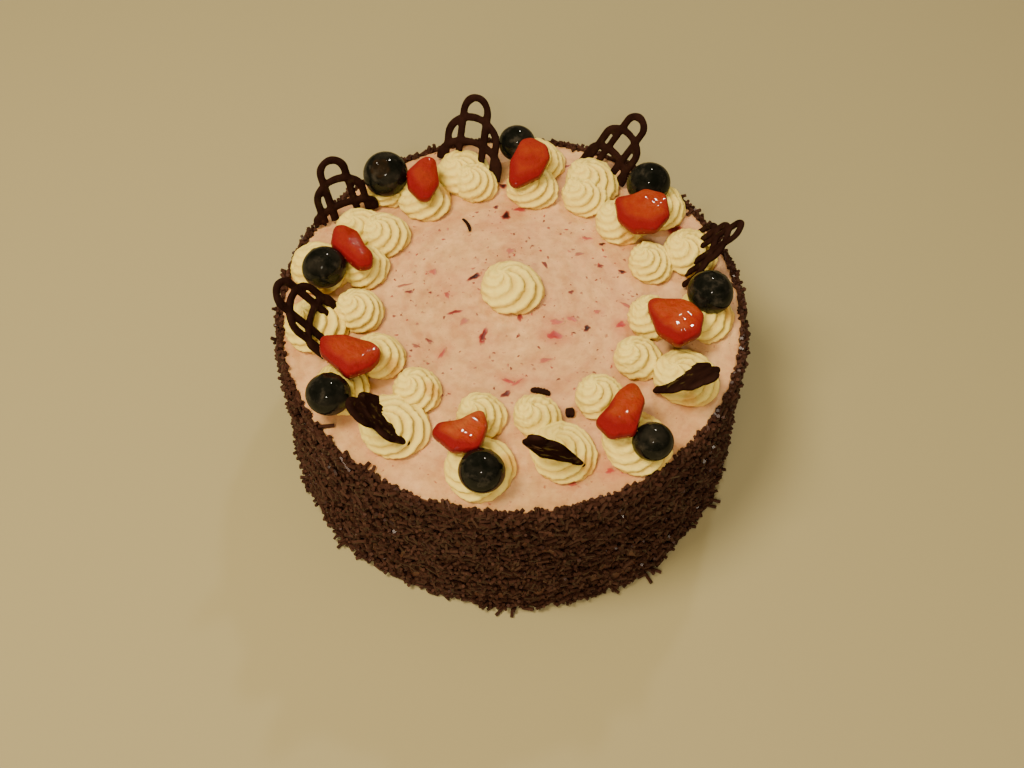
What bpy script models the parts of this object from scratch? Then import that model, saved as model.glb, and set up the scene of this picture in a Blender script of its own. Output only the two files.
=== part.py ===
"""A round berry cream cake: pink cream on top, chocolate sprinkles all round its side, and a double
ring of piped cream rosettes that carries chocolate lattices, strawberry halves and blueberries.

Metres, +Z up. The origin is the middle of the underside, and -Y is the front."""

import math
import random

import bmesh
import bpy
from mathutils import Matrix, Vector

GAP = 0.0003

# The body: cream inside a coat of sprinkles, a little wider at the foot than at the top
TOP_HEIGHT = 0.0800
TOP_RADIUS = 0.0985
SHOULDER_DROP = 0.0018
SHOULDER_RADIUS = 0.0998
WAIST_HEIGHT = 0.040
WAIST_RADIUS = 0.1012
FOOT_RADIUS = 0.1043
BODY_SIDES = 64
# Where the outline at the foot isn't round: angle, half width in degrees, and how far it stands out
FOOT_BUMPS = ((303, 13, 0.0036), (338, 17, 0.0020), (277, 11, 0.0020), (222, 14, 0.0012))

# Sprinkles in the coat
SPRINKLE_LENGTH = 0.0060
SPRINKLE_RADIUS = 0.00085
SPRINKLE_SIDES = 5
SIDE_SPRINKLES = 92
RIM_SPRINKLES = 32
# How far a rod's middle stands off the coat, keeps from the ends of the side, and lies under the top
SPRINKLE_STANDOFF = 0.0002
SPRINKLE_MARGIN = 0.0008
RIM_DROP = 0.0009
# The steepest slope of a rod on the side, and the slopes of a rod at the rim, in degrees from level
SIDE_SLOPE = 80
RIM_SLOPES = (35, 145)
# How far rods point outward on the side, and inward at the rim, as shares of their length
SIDE_OUTWARD = (-0.05, 0.12)
RIM_INWARD = (0.0, 0.5)
# Sprinkles that lie loose at the foot and stick out: ring radius and angle of the middle, and heading
STRAY_HEIGHT = 0.0010
STRAY_SPRINKLES = (
    (0.1103, 304.1, 300),
    (0.1094, 306.6, 338),
    (0.1089, 330.8, 345),
    (0.1084, 328.9, 348),
    (0.1076, 225.4, 231),
    (0.1058, 231.4, 207),
    (0.1074, 268.3, 227),
    (0.1075, 271.0, 264),
)
# Chocolate bits on the top: X, Y, length, width, height and heading. They sink in a little
BIT_SINK = 0.0006
TOP_BITS = (
    (0.0120, -0.0444, 0.0085, 0.0026, 0.0013, 347),
    (0.0237, -0.0541, 0.0038, 0.0040, 0.0022, 4),
    (-0.0210, 0.0439, 0.0084, 0.0014, 0.0011, 296),
)
GOLDEN_ANGLE = math.pi * (3 - math.sqrt(5))
SEED = 7

# Piped rosettes: each cluster has an inner and an outer one. Angles in degrees, counterclockwise from +X
INNER_HEIGHT = 0.0105
OUTER_HEIGHT = 0.0102
MIDDLE_RADIUS = 0.0135
MIDDLE_HEIGHT = 0.0112
MIDDLE_PLACE = (0.0008, 0.0064)
LOBES = 6
LOBE_DEPTH = 0.13
# A rosette's rings from its base up: share of the height, share of the radius, turn in degrees
ROSETTE_RINGS = ((0.0, 0.90, 0), (0.26, 1.0, 12), (0.62, 0.82, 34), (0.90, 0.48, 62))
# How far the peak stands off the middle, as a share of the radius
PEAK_SHIFT = (-0.22, 0.13)
# The smallest and largest share of the radius and of the height that a rosette has
ROSETTE_WIDTHS = (0.96, 1.04)
ROSETTE_RISES = (0.92, 1.06)
# Letter, then angle, ring radius and own radius of the inner rosette and of the outer one
CLUSTERS = (
    ("a", 281, 0.0585, 0.0098, 286, 0.0759, 0.0130),
    ("b", 307, 0.0600, 0.0100, 306, 0.0843, 0.0135),
    ("c", 331, 0.0600, 0.0100, 332, 0.0810, 0.0134),
    ("d", 352, 0.0600, 0.0102, 355, 0.0823, 0.0124),
    ("e", 19, 0.0644, 0.0100, 19, 0.0832, 0.0123),
    ("f", 42, 0.0661, 0.0114, 39, 0.0862, 0.0123),
    ("g", 61, 0.0687, 0.0110, 62, 0.0780, 0.0120),
    ("h", 82, 0.0655, 0.0115, 82, 0.0825, 0.0124),
    ("i", 104, 0.0691, 0.0102, 107, 0.0768, 0.0130),
    ("j", 125, 0.0693, 0.0115, 131, 0.0855, 0.0107),
    ("k", 148, 0.0665, 0.0110, 151, 0.0760, 0.0118),
    ("l", 165, 0.0655, 0.0102, 169, 0.0840, 0.0126),
    ("m", 186, 0.0640, 0.0102, 190, 0.0820, 0.0132),
    ("n", 209, 0.0610, 0.0101, 214, 0.0810, 0.0113),
    ("o", 231, 0.0590, 0.0101, 234, 0.0767, 0.0138),
    ("p", 259, 0.0586, 0.0099, 262, 0.0812, 0.0132),
)

# Chocolate lattices: three nested arches of piped thread, from the narrow loop to the wide foot.
# Each has straight legs and a round top, whose height is a share of the half width
ARCH_ROUNDNESS = (1.15, 0.85, 0.75)
ARCH_THICKNESS = (0.0027, 0.0031, 0.0024)
THREAD_WIDTH = 0.0040
ARCH_STEPS = 6
LATTICE_FOOT = TOP_HEIGHT + 0.0014
SLOT_HEIGHT = 0.030
# Cluster, ring radius and angle of the foot, its height above the top, turn from facing outward, lean
# outward, tip in its own plane, then the half width and height of each arch
LATTICES = (
    ("a", 0.0812, 282.7, 0.0110, -24, 17, 17, 0.0028, 0.0261, 0.0066, 0.0217, 0.0066, 0.0112),
    ("c", 0.0770, 329.6, 0.0040, -18, 38, 5, 0.0028, 0.0287, 0.0062, 0.0258, 0.0089, 0.0170),
    ("e", 0.0827, 16.8, 0.0040, -32, 29, 6, 0.0038, 0.0322, 0.0084, 0.0235, 0.0145, 0.0147),
    ("g", 0.0871, 61.0, 0.0040, -11, 20, 17, 0.0045, 0.0319, 0.0088, 0.0223, 0.0104, 0.0098),
    ("i", 0.0813, 104.8, 0.0040, -44, 31, -7, 0.0060, 0.0302, 0.0124, 0.0213, 0.0153, 0.0101),
    ("k", 0.0891, 147.5, 0.0040, -34, 13, -4, 0.0054, 0.0274, 0.0104, 0.0176, 0.0135, 0.0045),
    ("m", 0.0803, 192.2, 0.0085, -25, 31, -5, 0.0054, 0.0264, 0.0103, 0.0181, 0.0117, 0.0058),
    ("o", 0.0786, 232.6, 0.0085, -24, 35, -2, 0.0039, 0.0227, 0.0055, 0.0218, 0.0105, 0.0132),
)

# Blueberries: cluster, ring radius, angle, height of the middle above the top, diameter, and where
# the crown faces (angle, height angle)
BERRY_FLATNESS = 0.93
BERRY_SIDES = 10
# The berry's rings from its foot up: degrees from the crown, and share of the radius
BERRY_RINGS = ((150, 1.0), (120, 1.0), (90, 1.0), (58, 1.0), (30, 0.99), (21, 0.985))
# How far from the middle the bottom of the crown is, and the same place where the crown isn't hollow
CROWN_PIT = 0.76
CROWN_FULL = 0.97
BLUEBERRIES = (
    ("b", 0.0908, 306.6, 0.0116, 0.0159, 95, 5),
    ("d", 0.0825, 358.6, 0.0125, 0.0193, 60, 15),
    ("f", 0.0847, 44.2, 0.0125, 0.0196, 100, 10),
    ("h", 0.0838, 88.9, 0.0120, 0.0171, 80, 8),
    ("j", 0.0850, 132.5, 0.0127, 0.0203, 250, 62),
    ("l", 0.0798, 173.6, 0.0124, 0.0187, 120, 12),
    ("n", 0.0889, 217.3, 0.0123, 0.0178, 75, 48),
    ("p", 0.0872, 263.2, 0.0124, 0.0178, 85, 8),
)

# Strawberry halves, cut face up: cluster, ring radius, angle, height of the face above the top, half
# length, half width, depth, taper to the tip, direction of the tip, and tilt towards the middle
STRAWBERRY_SIDES = 14
STRAWBERRY_DOME = 0.0010
# How much shorter than an ellipse the two ends are
STRAWBERRY_BLUNTNESS = 0.06
# The skin's rings from the bottom up: share of the depth, share of the outline
STRAWBERRY_RINGS = ((0.90, 0.50), (0.62, 0.84), (0.28, 1.0), (0.0, 0.95))
STRAWBERRIES = (
    ("b", 0.0752, 304.8, 0.0181, 0.0137, 0.0071, 0.0085, 0.38, 64, 4),
    ("d", 0.0690, 344.4, 0.0165, 0.0107, 0.0115, 0.0085, 0.17, 241, 6),
    ("f", 0.0689, 35.6, 0.0167, 0.0130, 0.0102, 0.0088, 0.28, 170, 10),
    ("h", 0.0664, 84.7, 0.0178, 0.0133, 0.0080, 0.0088, 0.32, 236, 22),
    ("j", 0.0699, 124.6, 0.0165, 0.0110, 0.0072, 0.0088, 0.00, 263, 20),
    ("l", 0.0695, 165.3, 0.0165, 0.0131, 0.0054, 0.0082, 0.40, 315, 12),
    ("n", 0.0735, 210.0, 0.0168, 0.0130, 0.0079, 0.0085, 0.12, 353, 4),
    ("p", 0.0740, 255.5, 0.0165, 0.0112, 0.0072, 0.0082, 0.33, 183, 4),
)

CREAM_COLOUR = (0.80, 0.72, 0.52)
PINK_COLOUR = (0.72, 0.47, 0.36)
CHOCOLATE_COLOUR = (0.035, 0.012, 0.008)
STRAWBERRY_COLOUR = (0.60, 0.05, 0.015)
BLUEBERRY_COLOUR = (0.012, 0.016, 0.016)


def clear_scene():
    for obj in list(bpy.data.objects):
        bpy.data.objects.remove(obj, do_unlink=True)


def material(name, colour, roughness):
    made = bpy.data.materials.new(name)
    made.use_nodes = True
    shader = made.node_tree.nodes["Principled BSDF"]
    shader.inputs["Base Color"].default_value = (*colour, 1)
    shader.inputs["Roughness"].default_value = roughness
    shader.inputs["Metallic"].default_value = 0
    return made


def polar(angle, radius, height=0.0):
    turn = math.radians(angle)
    return Vector((radius * math.cos(turn), radius * math.sin(turn), height))


def add_object(name, mesh, surface, place=None):
    obj = bpy.data.objects.new(name, mesh)
    bpy.context.scene.collection.objects.link(obj)
    mesh.materials.append(surface)
    if place is not None:
        obj.matrix_world = place
    return obj


def ring_mesh(name, rings, bottom=None, top=None):
    """A closed skin through rings of equal length, from the lowest up. Each end is a point or a flat face."""
    shape = bmesh.new()
    loops = [[shape.verts.new(point) for point in ring] for ring in rings]
    count = len(loops[0])
    for low, high in zip(loops, loops[1:]):
        for n in range(count):
            after = (n + 1) % count
            shape.faces.new((low[n], low[after], high[after], high[n]))
    for loop, end, up in ((loops[0], bottom, False), (loops[-1], top, True)):
        order = loop if up else loop[::-1]
        if end is None:
            shape.faces.new(order)
            continue
        tip = shape.verts.new(end)
        for n in range(count):
            shape.faces.new((order[n], order[(n + 1) % count], tip))
    mesh = bpy.data.meshes.new(name)
    shape.to_mesh(mesh)
    shape.free()
    return mesh


def smooth(obj):
    obj.data.shade_smooth()
    obj.data.set_sharp_from_angle(angle=math.radians(50))


def helper(obj):
    """A shape that only cuts others."""
    obj.hide_render = True
    obj.display_type = "WIRE"
    return obj


def boolean(obj, name, operation, other=None, collection=None):
    modifier = obj.modifiers.new(name, "BOOLEAN")
    modifier.operation = operation
    modifier.solver = "EXACT"
    if collection is None:
        modifier.object = other
    else:
        modifier.operand_type = "COLLECTION"
        modifier.collection = collection
    return modifier


def apply_modifiers(obj):
    graph = bpy.context.evaluated_depsgraph_get()
    solid = bpy.data.meshes.new_from_object(obj.evaluated_get(graph))
    obj.modifiers.clear()
    obj.data = solid


def fuse(obj, pieces, solver="EXACT"):
    """Joins the pieces to obj in one union, and removes them."""
    group = bpy.data.collections.new(obj.name + "_pieces")
    bpy.context.scene.collection.children.link(group)
    for piece in pieces:
        group.objects.link(piece)
    boolean(obj, "Union", "UNION", collection=group).solver = solver
    apply_modifiers(obj)
    for piece in pieces:
        bpy.data.objects.remove(piece, do_unlink=True)
    bpy.data.collections.remove(group)


# The body and its sprinkles


def foot_bump(turn):
    """How far the foot stands out of round at this angle in degrees."""
    out = 0.0
    for middle, width, amount in FOOT_BUMPS:
        away = (turn - middle + 180) % 360 - 180
        out += amount * math.exp(-((away / width) ** 2))
    return out


def side_radius(turn, height):
    """The coat's radius at an angle in degrees and a height."""
    heights = (0.0, WAIST_HEIGHT, TOP_HEIGHT - SHOULDER_DROP, TOP_HEIGHT)
    radii = (FOOT_RADIUS, WAIST_RADIUS, SHOULDER_RADIUS, TOP_RADIUS)
    bump = foot_bump(turn) * (1 - height / TOP_HEIGHT)
    for low, high, near, far in zip(heights, heights[1:], radii, radii[1:]):
        if height <= high:
            return near + (far - near) * (height - low) / (high - low) + bump
    return radii[-1]


def body_mesh():
    levels = (0.0, WAIST_HEIGHT, TOP_HEIGHT - SHOULDER_DROP, TOP_HEIGHT)
    rings = []
    for level in levels:
        ring = []
        for n in range(BODY_SIDES):
            turn = 360 * n / BODY_SIDES
            ring.append(polar(turn, side_radius(turn, level), level))
        rings.append(ring)
    return ring_mesh("cake", rings)


def sprinkle(place, along, surface):
    """One short rod with its middle at place."""
    half = SPRINKLE_LENGTH / 2
    rings = []
    for end in (-half, half):
        ring = []
        for n in range(SPRINKLE_SIDES):
            turn = 2 * math.pi * n / SPRINKLE_SIDES
            ring.append((SPRINKLE_RADIUS * math.cos(turn), SPRINKLE_RADIUS * math.sin(turn), end))
        rings.append(ring)
    pose = Matrix.Translation(place) @ along.to_track_quat("Z", "Y").to_matrix().to_4x4()
    return add_object("sprinkle", ring_mesh("sprinkle", rings), surface, pose)


def side_sprinkles(surface, draw):
    """Rods that lie on the side at all angles, spread evenly by a spiral."""
    made = []
    clear = SPRINKLE_LENGTH / 2 + SPRINKLE_MARGIN
    for n in range(SIDE_SPRINKLES):
        turn = math.degrees(n * GOLDEN_ANGLE) % 360
        height = clear + (TOP_HEIGHT - 3 * clear) * (n + 0.5) / SIDE_SPRINKLES
        out = polar(turn, 1)
        across = Vector((-out.y, out.x, 0))
        slope = math.radians(draw.uniform(-SIDE_SLOPE, SIDE_SLOPE))
        along = across * math.cos(slope) + Vector((0, 0, math.sin(slope)))
        along += out * draw.uniform(*SIDE_OUTWARD)
        place = polar(turn, side_radius(turn, height) + SPRINKLE_STANDOFF, height)
        made.append(sprinkle(place, along, surface))
    return made


def rim_sprinkles(surface, draw):
    """Rods that stand up past the rim, or lie across it."""
    made = []
    for n in range(RIM_SPRINKLES):
        turn = 360 * (n + draw.uniform(-0.25, 0.25)) / RIM_SPRINKLES
        out = polar(turn, 1)
        across = Vector((-out.y, out.x, 0))
        slope = math.radians(draw.uniform(*RIM_SLOPES))
        along = across * math.cos(slope) + Vector((0, 0, math.sin(slope)))
        along -= out * draw.uniform(*RIM_INWARD)
        place = polar(turn, TOP_RADIUS + SPRINKLE_STANDOFF, TOP_HEIGHT - RIM_DROP)
        made.append(sprinkle(place, along, surface))
    return made


def stray_sprinkles(surface):
    """Rods that lie level at the foot."""
    return [
        sprinkle(polar(angle, ring, STRAY_HEIGHT), polar(heading, 1), surface)
        for ring, angle, heading in STRAY_SPRINKLES
    ]


def top_bits(surface):
    made = []
    for x, y, length, width, height, heading in TOP_BITS:
        corners = [(u * length / 2, v * width / 2) for u, v in ((-1, -1), (1, -1), (1, 1), (-1, 1))]
        rings = [[(u, v, level) for u, v in corners] for level in (-BIT_SINK, height)]
        pose = Matrix.Translation((x, y, TOP_HEIGHT)) @ Matrix.Rotation(math.radians(heading), 4, "Z")
        made.append(add_object("bit", ring_mesh("bit", rings), surface, pose))
    return made


def make_body(cream, chocolate):
    body = add_object("cake", body_mesh(), cream)
    draw = random.Random(SEED)
    rods = side_sprinkles(chocolate, draw) + rim_sprinkles(chocolate, draw) + stray_sprinkles(chocolate)
    fuse(body, rods + top_bits(chocolate))
    return body


# Piped cream


def rosette_places():
    """Every rosette as name, place on the top, radius and height."""
    places = [("rosette_middle", Vector((*MIDDLE_PLACE, 0)), MIDDLE_RADIUS, MIDDLE_HEIGHT)]
    for letter, inner_angle, inner_ring, inner, outer_angle, outer_ring, outer in CLUSTERS:
        places.append(("rosette_inner_" + letter, polar(inner_angle, inner_ring), inner, INNER_HEIGHT))
        places.append(("rosette_outer_" + letter, polar(outer_angle, outer_ring), outer, OUTER_HEIGHT))
    return places


def contact_planes(places, this):
    """Where this rosette meets its neighbours: direction and distance of each flat face between two."""
    planes = []
    _, middle, radius, _ = places[this]
    for n, (_, other, reach, _) in enumerate(places):
        away = other - middle
        if n == this or away.length >= radius + reach:
            continue
        share = (away.length ** 2 + radius ** 2 - reach ** 2) / (2 * away.length)
        planes.append((away.normalized(), share - GAP / 2))
    return planes


def make_rosette(places, this, surface, draw):
    name, middle, radius, height = places[this]
    planes = contact_planes(places, this)
    spin = draw.uniform(0, 360)
    size = draw.uniform(*ROSETTE_WIDTHS)
    rise = height * draw.uniform(*ROSETTE_RISES)
    shift = Vector((*PEAK_SHIFT, 0)) * radius
    rings = []
    for level, share, turn in ROSETTE_RINGS:
        ring = []
        for n in range(2 * LOBES):
            ridge = 1 if n % 2 == 0 else 1 - LOBE_DEPTH
            point = polar(spin + turn + 180 * n / LOBES, radius * size * share * ridge, rise * level)
            point += shift * level
            for away, far in planes:
                over = point.dot(away) - far
                if over > 0:
                    point -= away * over
            ring.append(point)
        rings.append(ring)
    mesh = ring_mesh(name, rings, top=shift + Vector((0, 0, rise)))
    obj = add_object(name, mesh, surface, Matrix.Translation(middle + Vector((0, 0, TOP_HEIGHT + GAP))))
    smooth(obj)
    return obj


# Chocolate lattices


def lattice_pose(ring, angle, foot, turn, lean, tip):
    """The pose of a lattice whose own X is its width, Y its thickness and Z its height."""
    facing = polar(angle + turn, 1)
    side = Vector((-facing.y, facing.x, 0))
    slope = math.radians(lean)
    up = Vector((0, 0, math.cos(slope))) + facing * math.sin(slope)
    tilt = math.radians(tip)
    width = side * math.cos(tilt) + up * math.sin(tilt)
    rise = up * math.cos(tilt) - side * math.sin(tilt)
    through = rise.cross(width)
    pose = Matrix((width, through, rise)).transposed().to_4x4()
    pose.translation = polar(angle, ring, TOP_HEIGHT + foot)
    return pose


def at_height(point, pose, height):
    """The point, slid along the lattice's own Z to this height in the world."""
    lift = (height - (pose @ point).z) / pose.col[2].z
    return point + Vector((0, 0, lift))


def arches_of(row):
    """The half width, height, roundness and thickness of each arch of a lattice."""
    return list(zip(row[7::2], row[8::2], ARCH_ROUNDNESS, ARCH_THICKNESS))


def arch_mesh(name, half_width, height, roundness, thickness, pose):
    """A bar with a four-sided section that follows one arch, from foot to foot."""
    half = THREAD_WIDTH / 2
    round_top = min(roundness * half_width, height)
    shape_points = [Vector((half_width, 0, 0))]
    for n in range(ARCH_STEPS + 1):
        turn = math.pi * n / ARCH_STEPS
        rise = height - round_top * (1 - math.sin(turn))
        shape_points.append(Vector((half_width * math.cos(turn), 0, rise)))
    shape_points.append(Vector((-half_width, 0, 0)))
    rings = []
    for n, point in enumerate(shape_points):
        before = shape_points[max(n - 1, 0)]
        after = shape_points[min(n + 1, len(shape_points) - 1)]
        run = (after - before).normalized()
        out = Vector((run.z, 0, -run.x))
        deep = Vector((0, thickness / 2, 0))
        rings.append([point + out * (u * half) + deep * v for u, v in ((1, 1), (-1, 1), (-1, -1), (1, -1))])
    for n in (0, -1):
        rings[n] = [at_height(point, pose, LATTICE_FOOT) for point in rings[n]]
    return ring_mesh(name, rings)


def make_lattice(row, surface):
    name = "lattice_" + row[0]
    pose = lattice_pose(*row[1:7])
    bars = []
    for n, arch in enumerate(arches_of(row)):
        mesh = arch_mesh(name, *arch, pose)
        bars.append(add_object(name if n == 0 else "arch", mesh, surface, pose))
    fuse(bars[0], bars[1:])
    return bars[0]


def lattice_slot(row, surface):
    """The slit in the cream that a lattice stands in."""
    half = max(arch[0] for arch in arches_of(row)) + THREAD_WIDTH / 2 + GAP
    deep = max(ARCH_THICKNESS) / 2 + GAP
    pose = lattice_pose(*row[1:7])
    corners = [Vector((u * half, v * deep, 0)) for u, v in ((-1, -1), (1, -1), (1, 1), (-1, 1))]
    levels = (LATTICE_FOOT - GAP, LATTICE_FOOT + SLOT_HEIGHT)
    rings = [[at_height(corner, pose, level) for corner in corners] for level in levels]
    return helper(add_object("slot_" + row[0], ring_mesh("slot", rings), surface, pose))


# Fruit


def berry_mesh(name, diameter, grow=0.0):
    """A blueberry with its crown at +Z. With grow, the plain round shape that dents the cream."""
    radius = diameter / 2 + grow
    rings = []
    for from_crown, share in BERRY_RINGS:
        turn = math.radians(from_crown)
        ring = []
        for n in range(BERRY_SIDES):
            flat = radius * share * math.sin(turn)
            height = radius * share * math.cos(turn) * BERRY_FLATNESS
            ring.append(polar(360 * n / BERRY_SIDES, flat, height))
        rings.append(ring)
    dip = CROWN_FULL if grow else CROWN_PIT
    return ring_mesh(name, rings, (0, 0, -radius * BERRY_FLATNESS), (0, 0, radius * BERRY_FLATNESS * dip))


def berry_pose(row):
    _, ring, angle, lift, _, crown_angle, crown_height = row
    level = math.cos(math.radians(crown_height))
    axis = polar(crown_angle, level, math.sin(math.radians(crown_height)))
    pose = axis.to_track_quat("Z", "Y").to_matrix().to_4x4()
    pose.translation = polar(angle, ring, TOP_HEIGHT + lift)
    return pose


def make_blueberry(row, surface):
    name = "blueberry_" + row[0]
    obj = add_object(name, berry_mesh(name, row[4]), surface, berry_pose(row))
    smooth(obj)
    return obj


def blueberry_dent(row, surface):
    mesh = berry_mesh("dent", row[4], grow=GAP)
    return helper(add_object("berry_dent_" + row[0], mesh, surface, berry_pose(row)))


def strawberry_mesh(name, length, width, depth, taper, grow=0.0):
    """Half a strawberry, cut face at z = 0, tip at +X and the skin below."""
    rings = []
    for sink, share in STRAWBERRY_RINGS:
        ring = []
        for n in range(STRAWBERRY_SIDES):
            turn = 2 * math.pi * n / STRAWBERRY_SIDES
            across = math.sin(turn) * (1 - taper * math.cos(turn))
            along = math.cos(turn) * (1 - STRAWBERRY_BLUNTNESS * math.cos(turn) ** 2)
            point = Vector(((length + grow) * along * share, (width + grow) * across * share, 0))
            point.z = -(depth + grow) * sink + grow * (sink == 0)
            ring.append(point)
        rings.append(ring)
    return ring_mesh(name, rings, (0, 0, -depth - grow), (0, 0, STRAWBERRY_DOME + grow))


def strawberry_pose(row):
    _, ring, angle, lift, _, _, _, _, heading, tilt = row
    inward = polar(angle + 180, 1)
    lean = Matrix.Rotation(math.radians(tilt), 4, Vector((0, 0, 1)).cross(inward))
    pose = Matrix.Translation(polar(angle, ring, TOP_HEIGHT + lift)) @ lean
    return pose @ Matrix.Rotation(math.radians(heading), 4, "Z")


def make_strawberry(row, surface):
    name = "strawberry_" + row[0]
    obj = add_object(name, strawberry_mesh(name, *row[4:8]), surface, strawberry_pose(row))
    smooth(obj)
    return obj


def strawberry_dent(row, surface):
    mesh = strawberry_mesh("dent", *row[4:8], grow=GAP)
    return helper(add_object("strawberry_dent_" + row[0], mesh, surface, strawberry_pose(row)))


def reach(obj):
    """The middle and the half diagonal of an object's box."""
    corners = [obj.matrix_world @ Vector(corner) for corner in obj.bound_box]
    middle = sum(corners, Vector()) / 8
    return middle, max((corner - middle).length for corner in corners)


def cut_where_near(rosettes, cutters):
    """Each rosette is cut by the fruit and lattices that stand in it."""
    for rosette in rosettes:
        middle, size = reach(rosette)
        for cutter in cutters:
            place, extent = reach(cutter)
            if (place - middle).length < size + extent:
                boolean(rosette, cutter.name, "DIFFERENCE", cutter)


def main():
    clear_scene()
    cream = material("white cream", CREAM_COLOUR, 0.45)
    pink = material("pink berry cream", PINK_COLOUR, 0.5)
    chocolate = material("dark chocolate", CHOCOLATE_COLOUR, 0.3)
    red = material("glazed strawberry", STRAWBERRY_COLOUR, 0.12)
    blue = material("glazed blueberry", BLUEBERRY_COLOUR, 0.1)
    make_body(pink, chocolate)
    places = rosette_places()
    draw = random.Random(SEED)
    rosettes = [make_rosette(places, n, cream, draw) for n in range(len(places))]
    for row in LATTICES:
        make_lattice(row, chocolate)
    for row in BLUEBERRIES:
        make_blueberry(row, blue)
    for row in STRAWBERRIES:
        make_strawberry(row, red)
    cutters = [lattice_slot(row, chocolate) for row in LATTICES]
    cutters += [blueberry_dent(row, blue) for row in BLUEBERRIES]
    cutters += [strawberry_dent(row, red) for row in STRAWBERRIES]
    bpy.context.view_layer.update()
    cut_where_near(rosettes, cutters)


main()
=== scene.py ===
"""The looks of the berry cream cake: piped cream, fruit, chocolate lattices and a coat of sprinkles.

Metres, +Z up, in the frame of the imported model, but the tables of pieces are in mm and degrees.
Every piece stands where its CAD solid is."""

import random
from math import atan2, copysign, cos, degrees, exp, pi, radians, sin, sqrt

import bpy
import numpy as np
from mathutils import Matrix, Vector

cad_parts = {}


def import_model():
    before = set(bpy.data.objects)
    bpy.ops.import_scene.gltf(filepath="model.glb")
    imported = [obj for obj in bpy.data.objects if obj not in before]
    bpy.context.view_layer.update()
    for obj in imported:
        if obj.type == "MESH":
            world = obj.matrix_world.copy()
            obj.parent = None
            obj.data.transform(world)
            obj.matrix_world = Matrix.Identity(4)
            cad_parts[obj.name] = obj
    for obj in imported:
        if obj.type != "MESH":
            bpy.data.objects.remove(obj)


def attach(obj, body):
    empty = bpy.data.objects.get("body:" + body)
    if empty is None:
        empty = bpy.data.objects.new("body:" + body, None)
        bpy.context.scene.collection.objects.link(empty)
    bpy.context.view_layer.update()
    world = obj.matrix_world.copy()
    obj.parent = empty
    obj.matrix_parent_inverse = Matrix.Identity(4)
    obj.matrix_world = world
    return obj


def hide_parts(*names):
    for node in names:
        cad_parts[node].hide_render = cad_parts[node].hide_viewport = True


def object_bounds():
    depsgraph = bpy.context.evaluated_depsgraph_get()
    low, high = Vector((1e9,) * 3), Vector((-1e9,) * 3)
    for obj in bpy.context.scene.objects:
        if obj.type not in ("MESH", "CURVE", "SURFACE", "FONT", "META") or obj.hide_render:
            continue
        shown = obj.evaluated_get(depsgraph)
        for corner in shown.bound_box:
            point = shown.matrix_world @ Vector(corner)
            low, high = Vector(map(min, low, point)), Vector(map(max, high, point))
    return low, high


TAU = 2 * pi

# The body, as in the CAD
TOP_HEIGHT = 0.0800
TOP_RADIUS = 0.0985
SHOULDER_DROP = 0.0018
SHOULDER_RADIUS = 0.0998
WAIST_HEIGHT = 0.040
WAIST_RADIUS = 0.1012
FOOT_RADIUS = 0.1043
# Where the outline at the foot isn't round: angle, half width, and how far it stands out
FOOT_BUMPS = ((303, 13, 3.6), (338, 17, 2.0), (277, 11, 2.0), (222, 14, 1.2))

# The cream under the sprinkles, as a grid round the axis
BODY_SIDES = 400
TOP_GRID_RINGS = 138
TOP_EDGE = 0.0966
EDGE_ROUNDING = 0.0016
EDGE_RINGS = 6
EDGE_DROP = 0.0003
SIDE_GRID_RINGS = 22
COAT_DEPTH = 0.0012

# Sprinkles: mean length and radius, how near one may come to the faces of the box, the sides of a rod,
# how many lie in each part of the coat, and how high the loose ones lie
ROD_LENGTH = 0.0053
ROD_RADIUS = 0.00078
ROD_MARGIN = 0.00002
ROD_SIDES = 5
SIDE_RODS = 10500
RIM_RODS = 1150
FOOT_RODS = 600
TOP_RODS = 12
STRAY_HEIGHT = 0.0010
# Loose ones at the foot: ring radius and angle of the middle, and heading
STRAY_SPRINKLES = (
    (110.3, 304.1, 300), (109.4, 306.6, 338), (108.9, 330.8, 345), (108.4, 328.9, 348),
    (107.6, 225.4, 231), (105.8, 231.4, 207), (107.4, 268.3, 227), (107.5, 271.0, 264),
)

# Rosettes: the middle one, the names and heights of the two in a cluster, how far a peak is off its
# middle as a share of the radius, the grid, and the swirl
MIDDLE_RADIUS = 0.0135
MIDDLE_HEIGHT = 0.0112
MIDDLE_PLACE = (0.0008, 0.0064)
PAIR_NAMES = ("rosette_inner_", "rosette_outer_")
PAIR_HEIGHTS = (0.0105, 0.0102)
PEAK_SHIFT = (-0.36, 0.12)
ROSETTE_RINGS = 46
ROSETTE_SIDES = 110
ROSETTE_ARMS = 6
ROSETTE_RIDGES = 4.4
RIDGE_DEPTH = 0.0015
ROPE_TURNS = 1.2
ROPE_DEPTH = 0.0006
# Letter, then angle, ring radius and own radius of the inner rosette and of the outer one
CLUSTERS = (
    ("a", 281, 58.5, 9.8, 286, 75.9, 13.0),
    ("b", 307, 60.0, 10.0, 306, 84.3, 13.5),
    ("c", 331, 60.0, 10.0, 332, 81.0, 13.4),
    ("d", 352, 60.0, 10.2, 355, 82.3, 12.4),
    ("e", 19, 64.4, 10.0, 19, 83.2, 12.3),
    ("f", 42, 66.1, 11.4, 39, 86.2, 12.3),
    ("g", 61, 68.7, 11.0, 62, 78.0, 12.0),
    ("h", 82, 65.5, 11.5, 82, 82.5, 12.4),
    ("i", 104, 69.1, 10.2, 107, 76.8, 13.0),
    ("j", 125, 69.3, 11.5, 131, 85.5, 10.7),
    ("k", 148, 66.5, 11.0, 151, 76.0, 11.8),
    ("l", 165, 65.5, 10.2, 169, 84.0, 12.6),
    ("m", 186, 64.0, 10.2, 190, 82.0, 13.2),
    ("n", 209, 61.0, 10.1, 214, 81.0, 11.3),
    ("o", 231, 59.0, 10.1, 234, 76.7, 13.8),
    ("p", 259, 58.6, 9.9, 262, 81.2, 13.2),
)

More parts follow.
